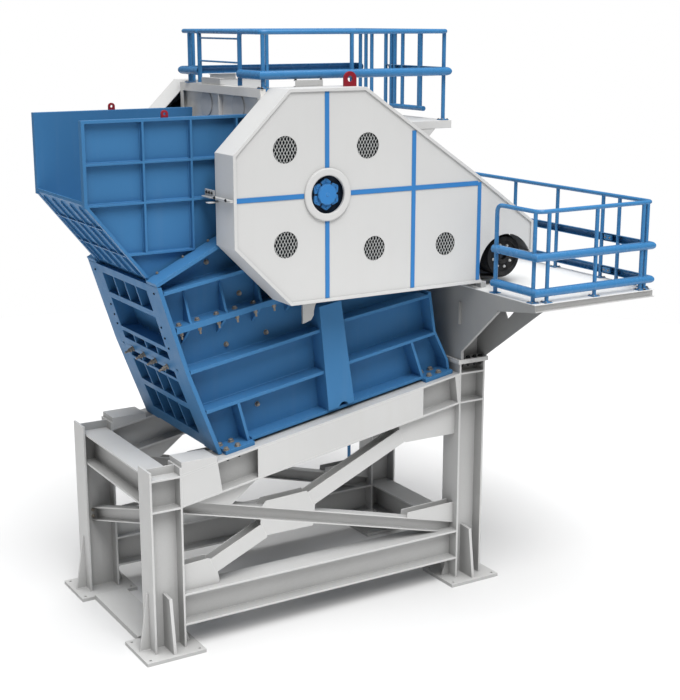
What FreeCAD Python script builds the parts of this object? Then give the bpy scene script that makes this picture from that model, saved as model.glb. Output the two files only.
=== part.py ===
import FreeCAD, Part
import math
import os
import Sketcher

# Jaw crusher on its steel support frame, in millimetres.
# +X runs from the feed hopper to the drive end, -Y is the drive side, +Z is up.
# The origin is on the ground, in the middle of the anchor bolts.

SIZES = [
    # anchor plates and columns
    ("plate_long", 675), ("plate_wide", 610), ("plate_thick", 40), ("anchor_radius", 16),
    ("anchor_inset", 55), ("column_x", 1941), ("column_y", 939), ("section_deep", 360),
    ("section_wide", 300), ("flange_thick", 22), ("web_thick", 14), ("front_column_top", 2045),
    ("rear_column_top", 2680), ("stiffener_thick", 20), ("gusset_thick", 20), ("side_gusset", 34),
    # beams and braces
    ("base_beam_top", 640), ("base_beam_low", 280), ("top_beam_top", 1957), ("incline", 9.6),
    ("incline_height", 2270), ("brace_deep", 144), ("brace_wide", 140), ("brace_flange", 12),
    ("brace_web", 9), ("long_brace_start", 1590), ("long_brace_end", 656),
    ("short_brace_deep", 176), ("short_brace_start", 800), ("short_brace_end", 1960),
    ("sill_wide", 380), ("sill_tall", 60), ("cover_thick", 10),
    # crusher frame
    ("crusher_half", 952), ("side_outer", 750), ("side_inner", 700), ("front_plate", 45),
    ("rib_thick", 36), ("front_skin", 250), ("foot_gap", 26), ("flange_slope", 0.49),
    ("front_top_x", -1907), ("front_top_z", 3922), ("front_kink_x", -1619),
    ("front_kink_z", 2995), ("front_low_x", -1260), ("front_low_z", 2040), ("rear_low_x", 1712),
    ("rear_mid_x", 1691), ("rear_mid_z", 2712), ("rear_up_x", 1508), ("rear_up_z", 3068),
    ("rear_top_x", 1430), ("rear_top_z", 3540),
    # rotor and drive
    ("hub_x", -173), ("hub_z", 4790), ("shaft_radius", 130), ("bore_radius", 140),
    ("wheel_radius", 930), ("wheel_wide", 300), ("wheel_y", 1165), ("housing_radius", 330),
    ("housing_in", 692), ("housing_out", 892),
    ("pulley_x", 2190), ("pulley_z", 3930), ("pulley_radius", 225), ("belt_gap", 7),
    ("belt_thick", 18), ("belt_wide", 220),
    # guards
    ("guard_in", 969), ("guard_out", 1378), ("guard_sheet", 8), ("guard_rim", 32),
    ("vent_radius", 138), ("hub_ring_out", 272), ("hub_ring_in", 196), ("strip_wide", 50),
    ("cut_x", 2160), ("cut_z", 3830), ("cut_radius", 365),
    # hopper
    ("hopper_half", 729), ("hopper_plate", 12), ("hopper_rib", 60), ("hopper_top", 5582),
    ("hopper_front", -2545), ("hopper_lip", 4752), ("hopper_rear", -719.3), ("hopper_rib_thick", 22),
    # drive platform
    ("platform_front", "=column_x - section_deep / 2"), ("platform_rear", 3468), ("platform_half", 2391),
    ("platform_top", 3605), ("platform_edge", 86), ("floor_thick", 8), ("bulkhead_thick", 14),
    # railings
    ("rail_radius", 24), ("post_radius", 22), ("kick_radius", 45), ("rail_height", 975),
    ("mid_height", 490), ("low_height", 110),
    # top walkway
    ("walk_front", -689), ("panel_x", -669), ("walk_rear", 1597), ("walk_half", 942), ("walk_top", 5450),
    ("walk_rail", 6406), ("walk_mid", 5980),
]

doc = FreeCAD.newDocument("jaw_crusher")
sheet = doc.addObject("Spreadsheet::Sheet", "sizes")
for row, (alias, value) in enumerate(SIZES, start=1):
    sheet.set("A%d" % row, alias.replace("_", " "))
    sheet.set("B%d" % row, str(value))
    sheet.setAlias("B%d" % row, alias)
doc.recompute()
V = {alias: float(sheet.get(alias)) for alias, value in SIZES}
NODES = []

SLOPE = math.tan(math.radians(V["incline"]))


def bind(obj, prop, size):
    """Give one property its size: a sheet alias or expression as text, or a plain number."""
    if isinstance(size, str):
        obj.setExpression(prop, size)
    else:
        setattr(obj, prop, size)


def incline_z(x):
    """Height of the inclined beams' top face at x."""
    return V["incline_height"] + x * SLOPE


def box(name, long, wide, tall, at):
    """A Part::Box with one corner at the given place."""
    item = doc.addObject("Part::Box", name)
    bind(item, "Length", long)
    bind(item, "Width", wide)
    bind(item, "Height", tall)
    item.Placement.Base = FreeCAD.Vector(*at)
    return item


def rod(name, radius, start, end):
    """A Part::Cylinder from one point to another."""
    item = doc.addObject("Part::Cylinder", name)
    first = FreeCAD.Vector(*start)
    run = FreeCAD.Vector(*end) - first
    bind(item, "Radius", radius)
    item.Height = run.Length
    turn = FreeCAD.Rotation(FreeCAD.Vector(0, 0, 1), run)
    item.Placement = FreeCAD.Placement(first, turn)
    return item


def origin_plane(body, role):
    """One of the body's own origin planes."""
    for feature in body.Origin.OriginFeatures:
        if feature.Role == role:
            return feature
    raise ValueError(role)


def prism(name, role, outline, thick, centre, holes=()):
    """A PartDesign body: one outline with round holes, padded evenly about an origin plane."""
    body = doc.addObject("PartDesign::Body", name)
    sketch = body.newObject("Sketcher::SketchObject", name + "_outline")
    sketch.AttachmentSupport = (origin_plane(body, role), [""])
    sketch.MapMode = "FlatFace"
    count = len(outline)
    for index in range(count):
        first = FreeCAD.Vector(outline[index][0], outline[index][1], 0)
        other = outline[(index + 1) % count]
        sketch.addGeometry(Part.LineSegment(first, FreeCAD.Vector(other[0], other[1], 0)), False)
    for index in range(count):
        sketch.addConstraint(
            Sketcher.Constraint("Coincident", index, 2, (index + 1) % count, 1))
    for index in range(count):
        sketch.addConstraint(Sketcher.Constraint("DistanceX", -1, 1, index, 1, outline[index][0]))
        sketch.addConstraint(Sketcher.Constraint("DistanceY", -1, 1, index, 1, outline[index][1]))
    for across, up, radius in holes:
        ring = Part.Circle(FreeCAD.Vector(across, up, 0), FreeCAD.Vector(0, 0, 1), radius)
        item = sketch.addGeometry(ring, False)
        sketch.addConstraint(Sketcher.Constraint("Radius", item, radius))
        sketch.addConstraint(Sketcher.Constraint("DistanceX", -1, 1, item, 3, across))
        sketch.addConstraint(Sketcher.Constraint("DistanceY", -1, 1, item, 3, up))
    pad = body.newObject("PartDesign::Pad", name + "_pad")
    pad.Profile = sketch
    pad.SideType = "Symmetric"
    bind(pad, "Length", thick)
    sketch.Visibility = False
    move = {"XZ_Plane": (0, centre, 0), "YZ_Plane": (centre, 0, 0), "XY_Plane": (0, 0, centre)}
    body.Placement.Base = FreeCAD.Vector(*move[role])
    return body


def fuse(name, items):
    """All the given objects as one solid."""
    item = doc.addObject("Part::MultiFuse", name)
    item.Shapes = items
    item.Refine = True
    return item


def cut(name, base, tool):
    """The base with the tool taken away."""
    item = doc.addObject("Part::Cut", name)
    item.Base = base
    item.Tool = tool
    item.Refine = True
    return item


def mirror(name, source):
    """The same piece on the other side of the machine's middle plane."""
    item = doc.addObject("Part::Mirroring", name)
    item.Source = source
    item.Normal = FreeCAD.Vector(0, 1, 0)
    return item


def gather(name, items):
    """Several solids that belong to one sub-part."""
    item = doc.addObject("Part::Compound", name)
    item.Links = items
    return item


def node(item, label):
    """Name a sub-part, which also names its file."""
    item.Label = label
    NODES.append(item)
    return item


def both_sides(label, items):
    """A sub-part made of the given drive-side pieces and their mirror images."""
    near = list(items)
    far = [mirror(piece.Name + "_far", piece) for piece in near]
    return node(gather(label + "_set", near + far), label)


def band(low_x, high_x, height, depth):
    """Outline of a strip whose top follows height(x) and is cut off upright at both ends."""
    return [(low_x, height(low_x)), (high_x, height(high_x)),
            (high_x, height(high_x) - depth), (low_x, height(low_x) - depth)]


def sloped_section(name, low_x, high_x, height, depth, wide, flange, web, y):
    """An I-section whose top face follows height(x), web upright, ends cut upright."""
    rise = height(high_x) - height(low_x)
    stretch = math.hypot(rise, high_x - low_x) / abs(high_x - low_x)
    deep = depth * stretch
    thick = flange * stretch

    def under_top(x):
        return height(x) - thick

    def low_flange(x):
        return height(x) - deep + thick

    upper = prism(name + "_upper", "XZ_Plane", band(low_x, high_x, height, thick), wide, y)
    lower = prism(name + "_lower", "XZ_Plane", band(low_x, high_x, low_flange, thick), wide, y)
    middle = prism(name + "_web", "XZ_Plane",
                   band(low_x, high_x, under_top, deep - 2 * thick), web, y)
    return fuse(name, [upper, lower, middle])


def line_height(x_a, z_a, x_b, z_b):
    """Height along a straight line through two points, as a function of x."""
    def height(x):
        return z_a + (x - x_a) * (z_b - z_a) / (x_b - x_a)
    return height


# ---------------------------------------------------------------- support frame

def base_plates():
    items = []
    for index, (sx, sy) in enumerate([(-1, -1), (1, -1), (-1, 1), (1, 1)]):
        cx = sx * V["column_x"]
        cy = sy * V["column_y"]
        hx = V["plate_long"] / 2
        hy = V["plate_wide"] / 2
        outline = [(cx - hx, cy - hy), (cx + hx, cy - hy), (cx + hx, cy + hy), (cx - hx, cy + hy)]
        ox = hx - V["anchor_inset"]
        oy = hy - V["anchor_inset"]
        holes = [(cx + a * ox, cy + b * oy, V["anchor_radius"]) for a in (-1, 1) for b in (-1, 1)]
        items.append(prism("base_plate_%d" % index, "XY_Plane", outline, "sizes.plate_thick",
                           V["plate_thick"] / 2, holes))
    node(gather("base_plates_set", items), "base_plates")


def column(name, sx, top, levels):
    """Upright I-section on the drive side, with stiffener plates between its flanges."""
    cx = sx * V["column_x"]
    cy = -V["column_y"]
    foot = V["plate_thick"]
    deep = V["section_deep"]
    wide = V["section_wide"]
    flange = V["flange_thick"]
    tall = top - foot
    left = box(name + "_flange_a", "sizes.flange_thick", "sizes.section_wide", tall,
               (cx - deep / 2, cy - wide / 2, foot))
    right = box(name + "_flange_b", "sizes.flange_thick", "sizes.section_wide", tall,
                (cx + deep / 2 - flange, cy - wide / 2, foot))
    web = box(name + "_web", "sizes.section_deep - 2 * sizes.flange_thick", "sizes.web_thick",
              tall, (cx - deep / 2 + flange, cy - V["web_thick"] / 2, foot))
    items = [left, right, web]
    for index, level in enumerate(levels):
        items.append(box("%s_stiffener_%d" % (name, index),
                         "sizes.section_deep - 2 * sizes.flange_thick",
                         "(sizes.section_wide - sizes.web_thick) / 2", "sizes.stiffener_thick",
                         (cx - deep / 2 + flange, cy - wide / 2, level - V["stiffener_thick"])))
    return fuse(name, items)


def columns():
    low = V["top_beam_top"] - V["section_deep"] + V["stiffener_thick"]
    front = column("column_front", -1, V["front_column_top"], [V["top_beam_top"], low])
    both_sides("columns_front", [front])
    inner = V["column_x"] - V["section_deep"] / 2
    upper = incline_z(inner)
    lower = upper - V["section_deep"] / math.cos(math.radians(V["incline"])) + 20
    rear = column("column_rear", 1, V["rear_column_top"], [upper, lower])
    both_sides("columns_rear", [rear])


def column_gussets():
    """Triangular and tapered plates that brace the columns on their anchor plates."""
    items = []
    foot = V["plate_thick"]
    y = -V["column_y"]
    for index, sx in enumerate((-1, 1)):
        cx = sx * V["column_x"]
        face = V["section_deep"] / 2
        reach = V["plate_long"] / 2 - 40
        outer = [(cx + sx * face, foot), (cx + sx * reach, foot), (cx + sx * (reach - 8), foot + 24),
                 (cx + sx * (face + 14), foot + 640), (cx + sx * face, foot + 640)]
        items.append(prism("gusset_outer_%d" % index, "XZ_Plane", outer, "sizes.gusset_thick", y))
        inner = [(cx - sx * face, foot), (cx - sx * (reach - 20), foot),
                 (cx - sx * (face + 20), foot + 235), (cx - sx * face, foot + 235)]
        items.append(prism("gusset_inner_%d" % index, "XZ_Plane", inner, "sizes.gusset_thick", y))
        edge = V["web_thick"] / 2
        side = [(y - edge, foot), (y - edge - 255, foot), (y - edge - 172, foot + 592),
                (y - edge, foot + 604)]
        items.append(prism("gusset_side_%d" % index, "YZ_Plane", side, "sizes.side_gusset", cx))
    both_sides("column_gussets", items)


def base_beams():
    inner = V["column_x"] - V["section_deep"] / 2

    def level(x):
        return V["base_beam_top"]

    beam = sloped_section("base_beam", -inner, inner, level,
                          V["base_beam_top"] - V["base_beam_low"], V["section_wide"],
                          V["flange_thick"], V["web_thick"], -V["column_y"])
    both_sides("base_beams", [beam])


def cross_section(name, x, top, deep, wide, half):
    """An I-section lying across the machine between the two columns' webs."""
    flange = V["flange_thick"]
    outline = [(x - wide / 2, top), (x + wide / 2, top), (x + wide / 2, top - flange),
               (x - wide / 2, top - flange)]
    items = [box(name + "_upper", wide, 2 * half, flange, (x - wide / 2, -half, top - flange)),
             box(name + "_lower", wide, 2 * half, flange, (x - wide / 2, -half, top - deep)),
             box(name + "_web", "sizes.web_thick", 2 * half, deep - 2 * flange,
                 (x - V["web_thick"] / 2, -half, top - deep + flange))]
    return fuse(name, items)


def cross_beams():
    half = V["column_y"] - V["web_thick"] / 2
    deep = V["section_deep"]
    wide = V["section_wide"]
    front = cross_section("front_top_beam", -V["column_x"], V["top_beam_top"], deep, wide, half)
    node(front, "front_top_beam")
    rear = cross_section("rear_base_beam", V["column_x"], V["base_beam_top"], deep, wide, half)
    node(rear, "rear_base_beam")
    run = 2 * (V["column_y"] - V["plate_wide"] / 2)
    top = box("front_sill_top", "sizes.sill_wide", run, 12,
              (-V["column_x"] - V["sill_wide"] / 2, -run / 2, V["sill_tall"] - 12))
    side = box("front_sill_front", 12, run, "sizes.sill_tall",
               (-V["column_x"] - V["sill_wide"] / 2, -run / 2, 0))
    back = box("front_sill_back", 12, run, "sizes.sill_tall",
               (-V["column_x"] + V["sill_wide"] / 2 - 12, -run / 2, 0))
    node(fuse("front_sill", [top, side, back]), "front_sill")


def end_brace():
    """The diagonal across the feed end, between the two front columns' webs."""
    half = V["column_y"] - V["web_thick"] / 2
    x = -V["column_x"]
    low = 935
    high = V["top_beam_top"] - V["section_deep"] - 92
    deep = 84
    flange = 13

    def strip(name, shift, thick, wide):
        outline = [(half, low + shift), (half, low + shift - thick),
                   (-half, high + shift - thick), (-half, high + shift)]
        return prism(name, "YZ_Plane", outline, wide, x)

    items = [strip("end_brace_upper", deep, flange, "sizes.brace_wide"),
             strip("end_brace_lower", -deep + flange, flange, "sizes.brace_wide"),
             strip("end_brace_web", deep - flange, 2 * deep - 2 * flange, "sizes.brace_web")]
    node(fuse("end_brace", items), "end_brace")


SHORT_RUNS = [(-1390, -765), (-186, 1016)]


def long_brace_line():
    inner = V["column_x"] - V["section_deep"] / 2
    return line_height(-inner, V["long_brace_start"], inner, V["long_brace_end"])


def long_brace_stretch():
    """How much longer an upright cut through the long brace is than its depth."""
    run = V["column_x"] * 2 - V["section_deep"]
    return math.hypot(V["long_brace_end"] - V["long_brace_start"], run) / run


def short_brace_line():
    return line_height(-1500, V["short_brace_start"], 1120, V["short_brace_end"])


def side_braces():
    """The long falling brace, the two-piece rising brace and the plates that join them."""
    inner = V["column_x"] - V["section_deep"] / 2
    y = -V["column_y"]
    middle = long_brace_line()
    lift = V["brace_deep"] / 2 * long_brace_stretch()

    def top(x):
        return middle(x) + lift

    long_brace = sloped_section("long_brace", -inner, inner, top, V["brace_deep"],
                                V["brace_wide"], V["brace_flange"], V["brace_web"], y)
    both_sides("long_braces", [cut("long_brace_cut", long_brace, frame_space("long", y))])
    rising = short_brace_line()
    half = V["short_brace_deep"] / 2
    angle = math.atan((V["short_brace_end"] - V["short_brace_start"]) / 2620)
    pieces = []
    for index, (start, end) in enumerate(SHORT_RUNS):
        pieces.append(tube_brace("short_brace_%d" % index, start, end, rising, half, angle, y))
    both_sides("short_braces", pieces)
    plates = []
    floor = V["base_beam_top"]

    def ceiling(x):
        return incline_z(x) - V["section_deep"] / math.cos(math.radians(V["incline"]))

    outlines = {
        "middle": [(-797, 1403), (-742, 1463), (-232, 1483), (-126, 1315), (-156, 1066),
                   (-737, 1066), (-812, 1213)],
        "low_front": [(-inner, floor), (-inner, 932), (-1450, 950), (-1410, 935), (-1338, 775),
                      (-1322, 698), (-1322, floor)],
        "low_rear": [(1103, 878), (1113, 963), (inner, 973), (inner, 718)],
        "high_front": [(-1457, 1538), (-1147, 1508), (-802, ceiling(-802)),
                       (-inner + 60, ceiling(-inner + 60)), (-inner, ceiling(-inner)),
                       (-inner, 1618)],
        "high_rear": [(985, ceiling(985)), (985, 1985), (1048, 1842), (1073, 1828),
                      (inner, 1824), (inner, ceiling(inner))],
    }
    line = V["brace_wide"] / 2 - V["brace_flange"] / 2
    for name in outlines:
        for side, place in (("near", y - line), ("far", y + line)):
            label = name + "_" + side
            plate = prism("joint_plate_" + label, "XZ_Plane", outlines[name],
                          "sizes.brace_flange", place)
            less_long = cut("joint_cut_long_" + label, plate, brace_space("a_" + label, top, y))
            plates.append(cut("joint_cut_short_" + label, less_long,
                              tube_space("b_" + label, rising, half, angle, y)))
    both_sides("joint_plates", plates)


def frame_space(name, y):
    """The room the base beam and the inclined beam take, as solids for cutting."""
    inner = V["column_x"] - V["section_deep"] / 2
    deep = V["section_deep"] / math.cos(math.radians(V["incline"]))
    low = prism(name + "_space_low", "XZ_Plane",
                [(-inner, V["base_beam_low"]), (inner, V["base_beam_low"]),
                 (inner, V["base_beam_top"]), (-inner, V["base_beam_top"])], 320, y)
    high = prism(name + "_space_high", "XZ_Plane", band(-inner, inner, incline_z, deep), 320, y)
    return gather(name + "_spaces", [low, high])


def brace_space(name, top, y):
    """The room the long brace takes, as a solid for cutting."""
    deep = V["brace_deep"] * long_brace_stretch()
    inner = V["column_x"] - V["section_deep"] / 2
    return prism("space_" + name, "XZ_Plane", band(-inner, inner, top, deep),
                 V["brace_wide"] + 20, y)


def tube_corners(start, end, rising, half, angle):
    """Outline of a straight member with square ends, centred on a rising line."""
    dx = half * math.sin(angle)
    dz = half * math.cos(angle)
    return [(start - dx, rising(start) + dz), (end - dx, rising(end) + dz),
            (end + dx, rising(end) - dz), (start + dx, rising(start) - dz)]


def tube_space(name, rising, half, angle, y):
    first = prism("space_%s_0" % name, "XZ_Plane",
                  tube_corners(SHORT_RUNS[0][0], SHORT_RUNS[0][1], rising, half, angle),
                  V["brace_wide"] + 20, y)
    second = prism("space_%s_1" % name, "XZ_Plane",
                   tube_corners(SHORT_RUNS[1][0], SHORT_RUNS[1][1], rising, half, angle),
                   V["brace_wide"] + 20, y)
    return gather("space_%s" % name, [first, second])


def tube_brace(name, start, end, rising, half, angle, y):
    """An H-section laid with its flanges upright, one each side of the joint plates."""
    flange = V["brace_flange"]
    wide = V["brace_wide"]
    corners = tube_corners(start, end, rising, half, angle)
    near = prism(name + "_near", "XZ_Plane", corners, flange, y - wide / 2 + flange / 2)
    far = prism(name + "_far", "XZ_Plane", corners, flange, y + wide / 2 - flange / 2)
    web = prism(name + "_web", "XZ_Plane", tube_corners(start, end, rising, 6, angle),
                wide - 2 * flange, y)
    return fuse(name, [near, far, web])


def inclined_beams():
    inner = V["column_x"] - V["section_deep"] / 2
    y = -V["column_y"]
    beam = sloped_section("inclined_beam", -inner, inner, incline_z, V["section_deep"],
                          V["section_wide"], V["flange_thick"], V["web_thick"], y)
    stiffener = prism("inclined_end", "XZ_Plane",
                      [(inner - 62, incline_z(inner - 62) - 22), (inner, incline_z(inner) - 22),
                       (inner, incline_z(inner) - 344), (inner - 18, incline_z(inner - 18) - 344)],
                      "sizes.section_wide - 4", y)
    both_sides("inclined_beams", [fuse("inclined_beam_whole", [beam, stiffener])])


def beam_covers():
    """The plates that close the inclined beams' open side, and the blocks at the feed end."""
    inner = V["column_x"] - V["section_deep"] / 2
    y = -V["column_y"] - V["section_wide"] / 2 + V["cover_thick"] / 2
    lip = V["flange_thick"] / math.cos(math.radians(V["incline"]))
    deep = V["section_deep"] / math.cos(math.radians(V["incline"]))

    def under(x):
        return incline_z(x) - lip

    long_cover = prism("cover_long", "XZ_Plane",
                       band(-872, 1256, under, deep - 2 * lip), "sizes.cover_thick", y)
    end_cover = prism("cover_end", "XZ_Plane",
                      [(-inner, incline_z(-inner) - lip), (-1345, incline_z(-1345) - lip),
                       (-1300, incline_z(-1300) - deep + lip),
                       (-inner, incline_z(-inner) - deep + lip)], "sizes.cover_thick", y)
    both_sides("beam_covers", [long_cover, end_cover])
    stop = V["front_column_top"] + 55
    outline = [(-inner, incline_z(-inner)), (-1355, incline_z(-1355)), (-1355, stop - 10),
               (-1365, stop), (-inner, stop)]
    blocks = prism("end_block", "XZ_Plane", outline, "sizes.section_wide", -V["column_y"])
    both_sides("end_blocks", [blocks])


def rear_supports():
    """Bolted end plates on the rear columns and the stubs that carry the drive platform."""
    cx = V["column_x"]
    cy = -V["column_y"]
    top = V["rear_column_top"]
    long = V["section_deep"] + 60
    across = V["section_wide"] + 40
    lower = box("joint_lower", long, across, 25, (cx - long / 2, cy - across / 2, top))
    upper = box("joint_upper", long, across, 25, (cx - long / 2, cy - across / 2, top + 25))
    both_sides("joint_end_plates", [lower, upper])
    foot = top + 50
    tall = V["platform_top"] - V["floor_thick"] - foot
    front = V["platform_front"]
    deep = V["section_deep"]
    wide = V["section_wide"]
    thick = V["bulkhead_thick"]
    web = box("stub_web", deep - 2 * thick, "sizes.web_thick", tall,
              (front + thick, cy - V["web_thick"] / 2, foot))
    both_sides("rear_stubs", [web])
    half = V["column_y"] + wide / 2
    rim = V["platform_top"] - V["floor_thick"]
    tip = V["platform_half"]
    edge = V["platform_top"] - V["platform_edge"]
    profile = [(-tip, rim), (-tip, edge), (-1746, rim - 176), (-half, rim - 756), (-half, foot),
               (half, foot), (half, rim - 756), (1746, rim - 176), (tip, edge), (tip, rim)]
    wall = prism("bulkhead_wall", "YZ_Plane", profile, "sizes.bulkhead_thick",
                 front + thick / 2)
    strips = []
    for index, sy in enumerate((-1, 1)):
        outline = [(sy * half, foot), (sy * (half + 16), foot), (sy * (half + 16), rim - 763),
                   (sy * 1758, rim - 186), (sy * 1746, rim - 176), (sy * half, rim - 756)]
        strips.append(prism("bulkhead_strip_%d" % index, "YZ_Plane", outline, 40,
                            front + 20))
    ribs = []
    for index, y in enumerate((-1082, -360, 360, 1082)):
        ribs.append(box("bulkhead_rib_%d" % index, 32, 14, 260, (front - 32, y - 7, 3150)))
    node(fuse("bulkhead_front_whole", [wall] + strips + ribs), "bulkhead_front")
    back = front + deep - thick / 2
    profile = [(-2215, edge), (-1790, edge), (-1502, rim - 350), (-1280, rim), (1280, rim),
               (1502, rim - 350), (1790, edge), (2215, edge), (half, foot), (-half, foot)]
    node(prism("bulkhead_rear", "YZ_Plane", profile, "sizes.bulkhead_thick", back),
         "bulkhead_rear")


def drive_platform():
    top = V["platform_top"] - V["floor_thick"]
    low = V["platform_top"] - V["platform_edge"]
    front = V["platform_front"] + V["bulkhead_thick"]
    rear = V["platform_rear"]
    half = V["platform_half"]
    deep = top - low
    items = [box("edge_near_web", rear - front, 10, deep, (front, -half + 30, low)),
             box("edge_near_low", rear - front, 40, 8, (front, -half, low)),
             box("edge_far_web", rear - front, 10, deep, (front, half - 40, low)),
             box("edge_far_low", rear - front, 40, 8, (front, half - 40, low)),
             box("edge_end_web", 10, 2 * half - 60, deep, (rear - 40, -half + 30, low)),
             box("edge_end_low", 40, 2 * half, 8, (rear - 40, -half, low))]
    for index, y in enumerate((-1290, -645, 0, 645, 1290)):
        start = V["platform_front"] + V["section_deep"]
        items.append(box("joist_web_%d" % index, rear - 40 - start, 10, deep,
                         (start, y - 5, low)))
        items.append(box("joist_low_%d" % index, rear - 40 - start, 60, 8,
                         (start, y - 30, low)))
    node(fuse("platform_frame", items), "platform_frame")
    floor = box("platform_floor", rear - V["platform_front"], 2 * half, "sizes.floor_thick",
                (V["platform_front"], -half, top))
    node(floor, "platform_floor")


# ---------------------------------------------------------------- railings

def rail_panel(name, frame, run, posts, levels, foot, caps=True):
    """One straight railing: rails at the given heights, posts with foot plates.

    frame is 'x' or 'y' for its direction, run is (fixed, low, high), levels are
    (height, radius) pairs and posts are places along the run.
    """
    fixed, low, high = run
    items = []

    def place(along, z):
        return (along, fixed, z) if frame == "x" else (fixed, along, z)

    for index, (height, radius, start, end) in enumerate(levels):
        items.append(rod("%s_rail_%d" % (name, index), radius, place(start, height),
                         place(end, height)))
    for index, (along, base, head) in enumerate(posts):
        items.append(rod("%s_post_%d" % (name, index), "sizes.post_radius",
                         place(along, base), place(along, head)))
        if caps:
            centre = place(along, base)
            items.append(box("%s_foot_%d" % (name, index), 90, 90, 10,
                             (centre[0] - 45, centre[1] - 45, base)))
    return fuse(name, items)


def drive_railings():
    base = V["platform_top"]
    top = base + V["rail_height"]
    mid = base + V["mid_height"]
    low = base + V["low_height"]
    half = V["platform_half"] - 50
    front = V["platform_front"] + 50
    rear = V["platform_rear"] - 50
    kick = V["kick_radius"]
    gap = kick + 4
    rail = V["rail_radius"]
    levels = [(top, rail, front + 30, rear - 30), (mid, kick, front + gap, rear - gap),
              (low, kick, front + gap, rear - gap)]
    posts = [(x, base, top) for x in (1955, 2620, 3300)]
    near = rail_panel("drive_rail_side", "x", (-half, front, rear), posts, levels, base)
    both_sides("drive_rails_side", [near])
    ends = [(top, rail, -half, half), (mid, kick, -half, half), (low, kick, -half, half)]
    posts = [(y, base, top) for y in (-2250, -1819, -1547, -745, 65, 875, 1547, 1819, 2250)]
    last = rail_panel("drive_rail_end", "y", (rear, -half, half), posts, ends, base)
    inner = 1640
    back = [(top, rail, -half, -inner), (mid, kick, -half, -inner), (low, kick, -half, -inner)]
    posts = [(y, base, top) for y in (-2290, -inner)]
    turn = rail_panel("drive_rail_return", "y", (front, -half, -inner), posts, back, base)
    far = mirror("drive_rail_return_far", turn)
    node(gather("drive_rails_cross_set", [last, turn, far]), "drive_rails_cross")


def walk_railings():
    top = V["walk_rail"]
    mid = V["walk_mid"]
    base = V["walk_top"]
    half = V["walk_half"]
    front = V["walk_front"]
    rear = V["walk_rear"]
    kick = V["kick_radius"]
    rail = V["rail_radius"]
    gap = kick + 4
    cap = 5847
    levels = [(top, rail, front + gap, rear - 30), (mid, kick, front + gap, rear - gap)]
    posts = [(380, base, top)]
    near = rail_panel("walk_rail_near", "x", (-half, front, rear), posts, levels, base)
    posts = [(-560, base, top), (380, base, top)]
    far = rail_panel("walk_rail_far", "x", (half, front, rear), posts, levels, base)
    node(gather("walk_rails_side_set", [near, far]), "walk_rails_side")
    ends = [(top, rail, -half, half), (mid, kick, -half, half), (6335, 9, -460, 503),
            (6092, 9, -460, 503)]
    posts = [(y, cap, top) for y in (-460, 503, 757)]
    first = rail_panel("walk_rail_front", "y", (front, -half, half), posts, ends, base)
    corner = rod("walk_rail_corner", "sizes.post_radius", (front + 24, 17 - half, cap),
                 (front + 24, 17 - half, top))
    foot = box("walk_rail_corner_foot", 70, 80, 10, (front - 11, -half - 19, cap))
    first = fuse("walk_rail_front_whole", [first, corner, foot])
    ends = [(top, rail, -half, half), (mid, kick, -half, 273), (5554, 28, -514, 154)]
    posts = [(y, base, top) for y in (-890, 273, 579, 708, 834)]
    last = rail_panel("walk_rail_rear", "y", (rear, -half, half), posts, ends, base)
    hung = [rod("walk_rail_hung_%d" % index, "sizes.post_radius", (rear, y, 5554), (rear, y, top))
            for index, y in enumerate((-430, -79, 81, 154))]
    last = fuse("walk_rail_rear_whole", [last] + hung)
    node(gather("walk_rails_cross_set", [first, last]), "walk_rails_cross")


def walkway():
    """Floor between the two guards, its edge beams and the brackets under its rear end."""
    front = V["panel_x"] + 10.3
    rear = V["walk_rear"] + 60
    half = V["guard_in"] - 0.3
    top = V["walk_top"]
    floor = box("walk_floor_plate", rear - front, 2 * half, 8, (front, -half, top - 8))
    edge = box("walk_floor_edge", 12, 2 * half, 75, (rear - 12, -half, top - 83))
    near = box("walk_floor_near", rear - front, 10, 75, (front, -half, top - 83))
    far = box("walk_floor_far", rear - front, 10, 75, (front, half - 10, top - 83))
    items = [floor, edge, near, far]
    for index, y in enumerate((-960, -320, 320, 960)):
        outline = [(rear - 40, top - 83), (rear - 210, top - 83), (rear - 560, top - 430),
                   (rear - 1000, top - 430), (rear - 1000, top - 8), (rear - 12, top - 8)]
        items.append(prism("walk_bracket_%d" % index, "XZ_Plane", outline, 10, y))
    for index, sy in enumerate((-1, 1)):
        items.append(prism("walk_post_%d" % index, "XZ_Plane",
                           [(560, 4525.7), (640, 4399.8), (640, top - 8), (560, top - 8)], 40,
                           sy * (V["side_inner"] + V["side_outer"]) / 2))
    node(fuse("walkway_whole", items), "walkway")


def back_panel():
    """The upright grey wall between the guards, behind the hopper."""
    x = V["panel_x"]
    half = V["guard_in"] - 0.3
    low = V["hub_z"] - 59.7
    top = 5835
    wall = box("back_wall", 10, 2 * half, top - low, (x, -half, low))
    items = [wall, box("back_wall_cap", 60, 2 * half, 12, (x - 50, -half, top)),
             box("back_wall_rim", 10, 2 * half, 78, (x - 50, -half, top - 78)),
             box("back_wall_end", 10, 70, top - low, (x - 50, half - 70, low)),
             box("back_wall_near", 10, 70, top - low, (x - 50, -half, low))]
    for index, y in enumerate((6 - half, 0, half - 6)):
        items.append(box("back_wall_rib_%d" % index, 50, 12, top - low, (x - 50, y - 6, low)))
    for index, y in enumerate((-382, 382)):
        items.append(rod("back_wall_disc_%d" % index, 138, (x - 14, y, 5640), (x, y, 5640)))
    node(fuse("back_panel", items), "back_panel")


# ---------------------------------------------------------------- crusher frame

def flange_z(x):
    """Height of the side plates' sloping top edge at x."""
    return V["front_top_z"] + (x - V["front_top_x"]) * V["flange_slope"]


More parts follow.
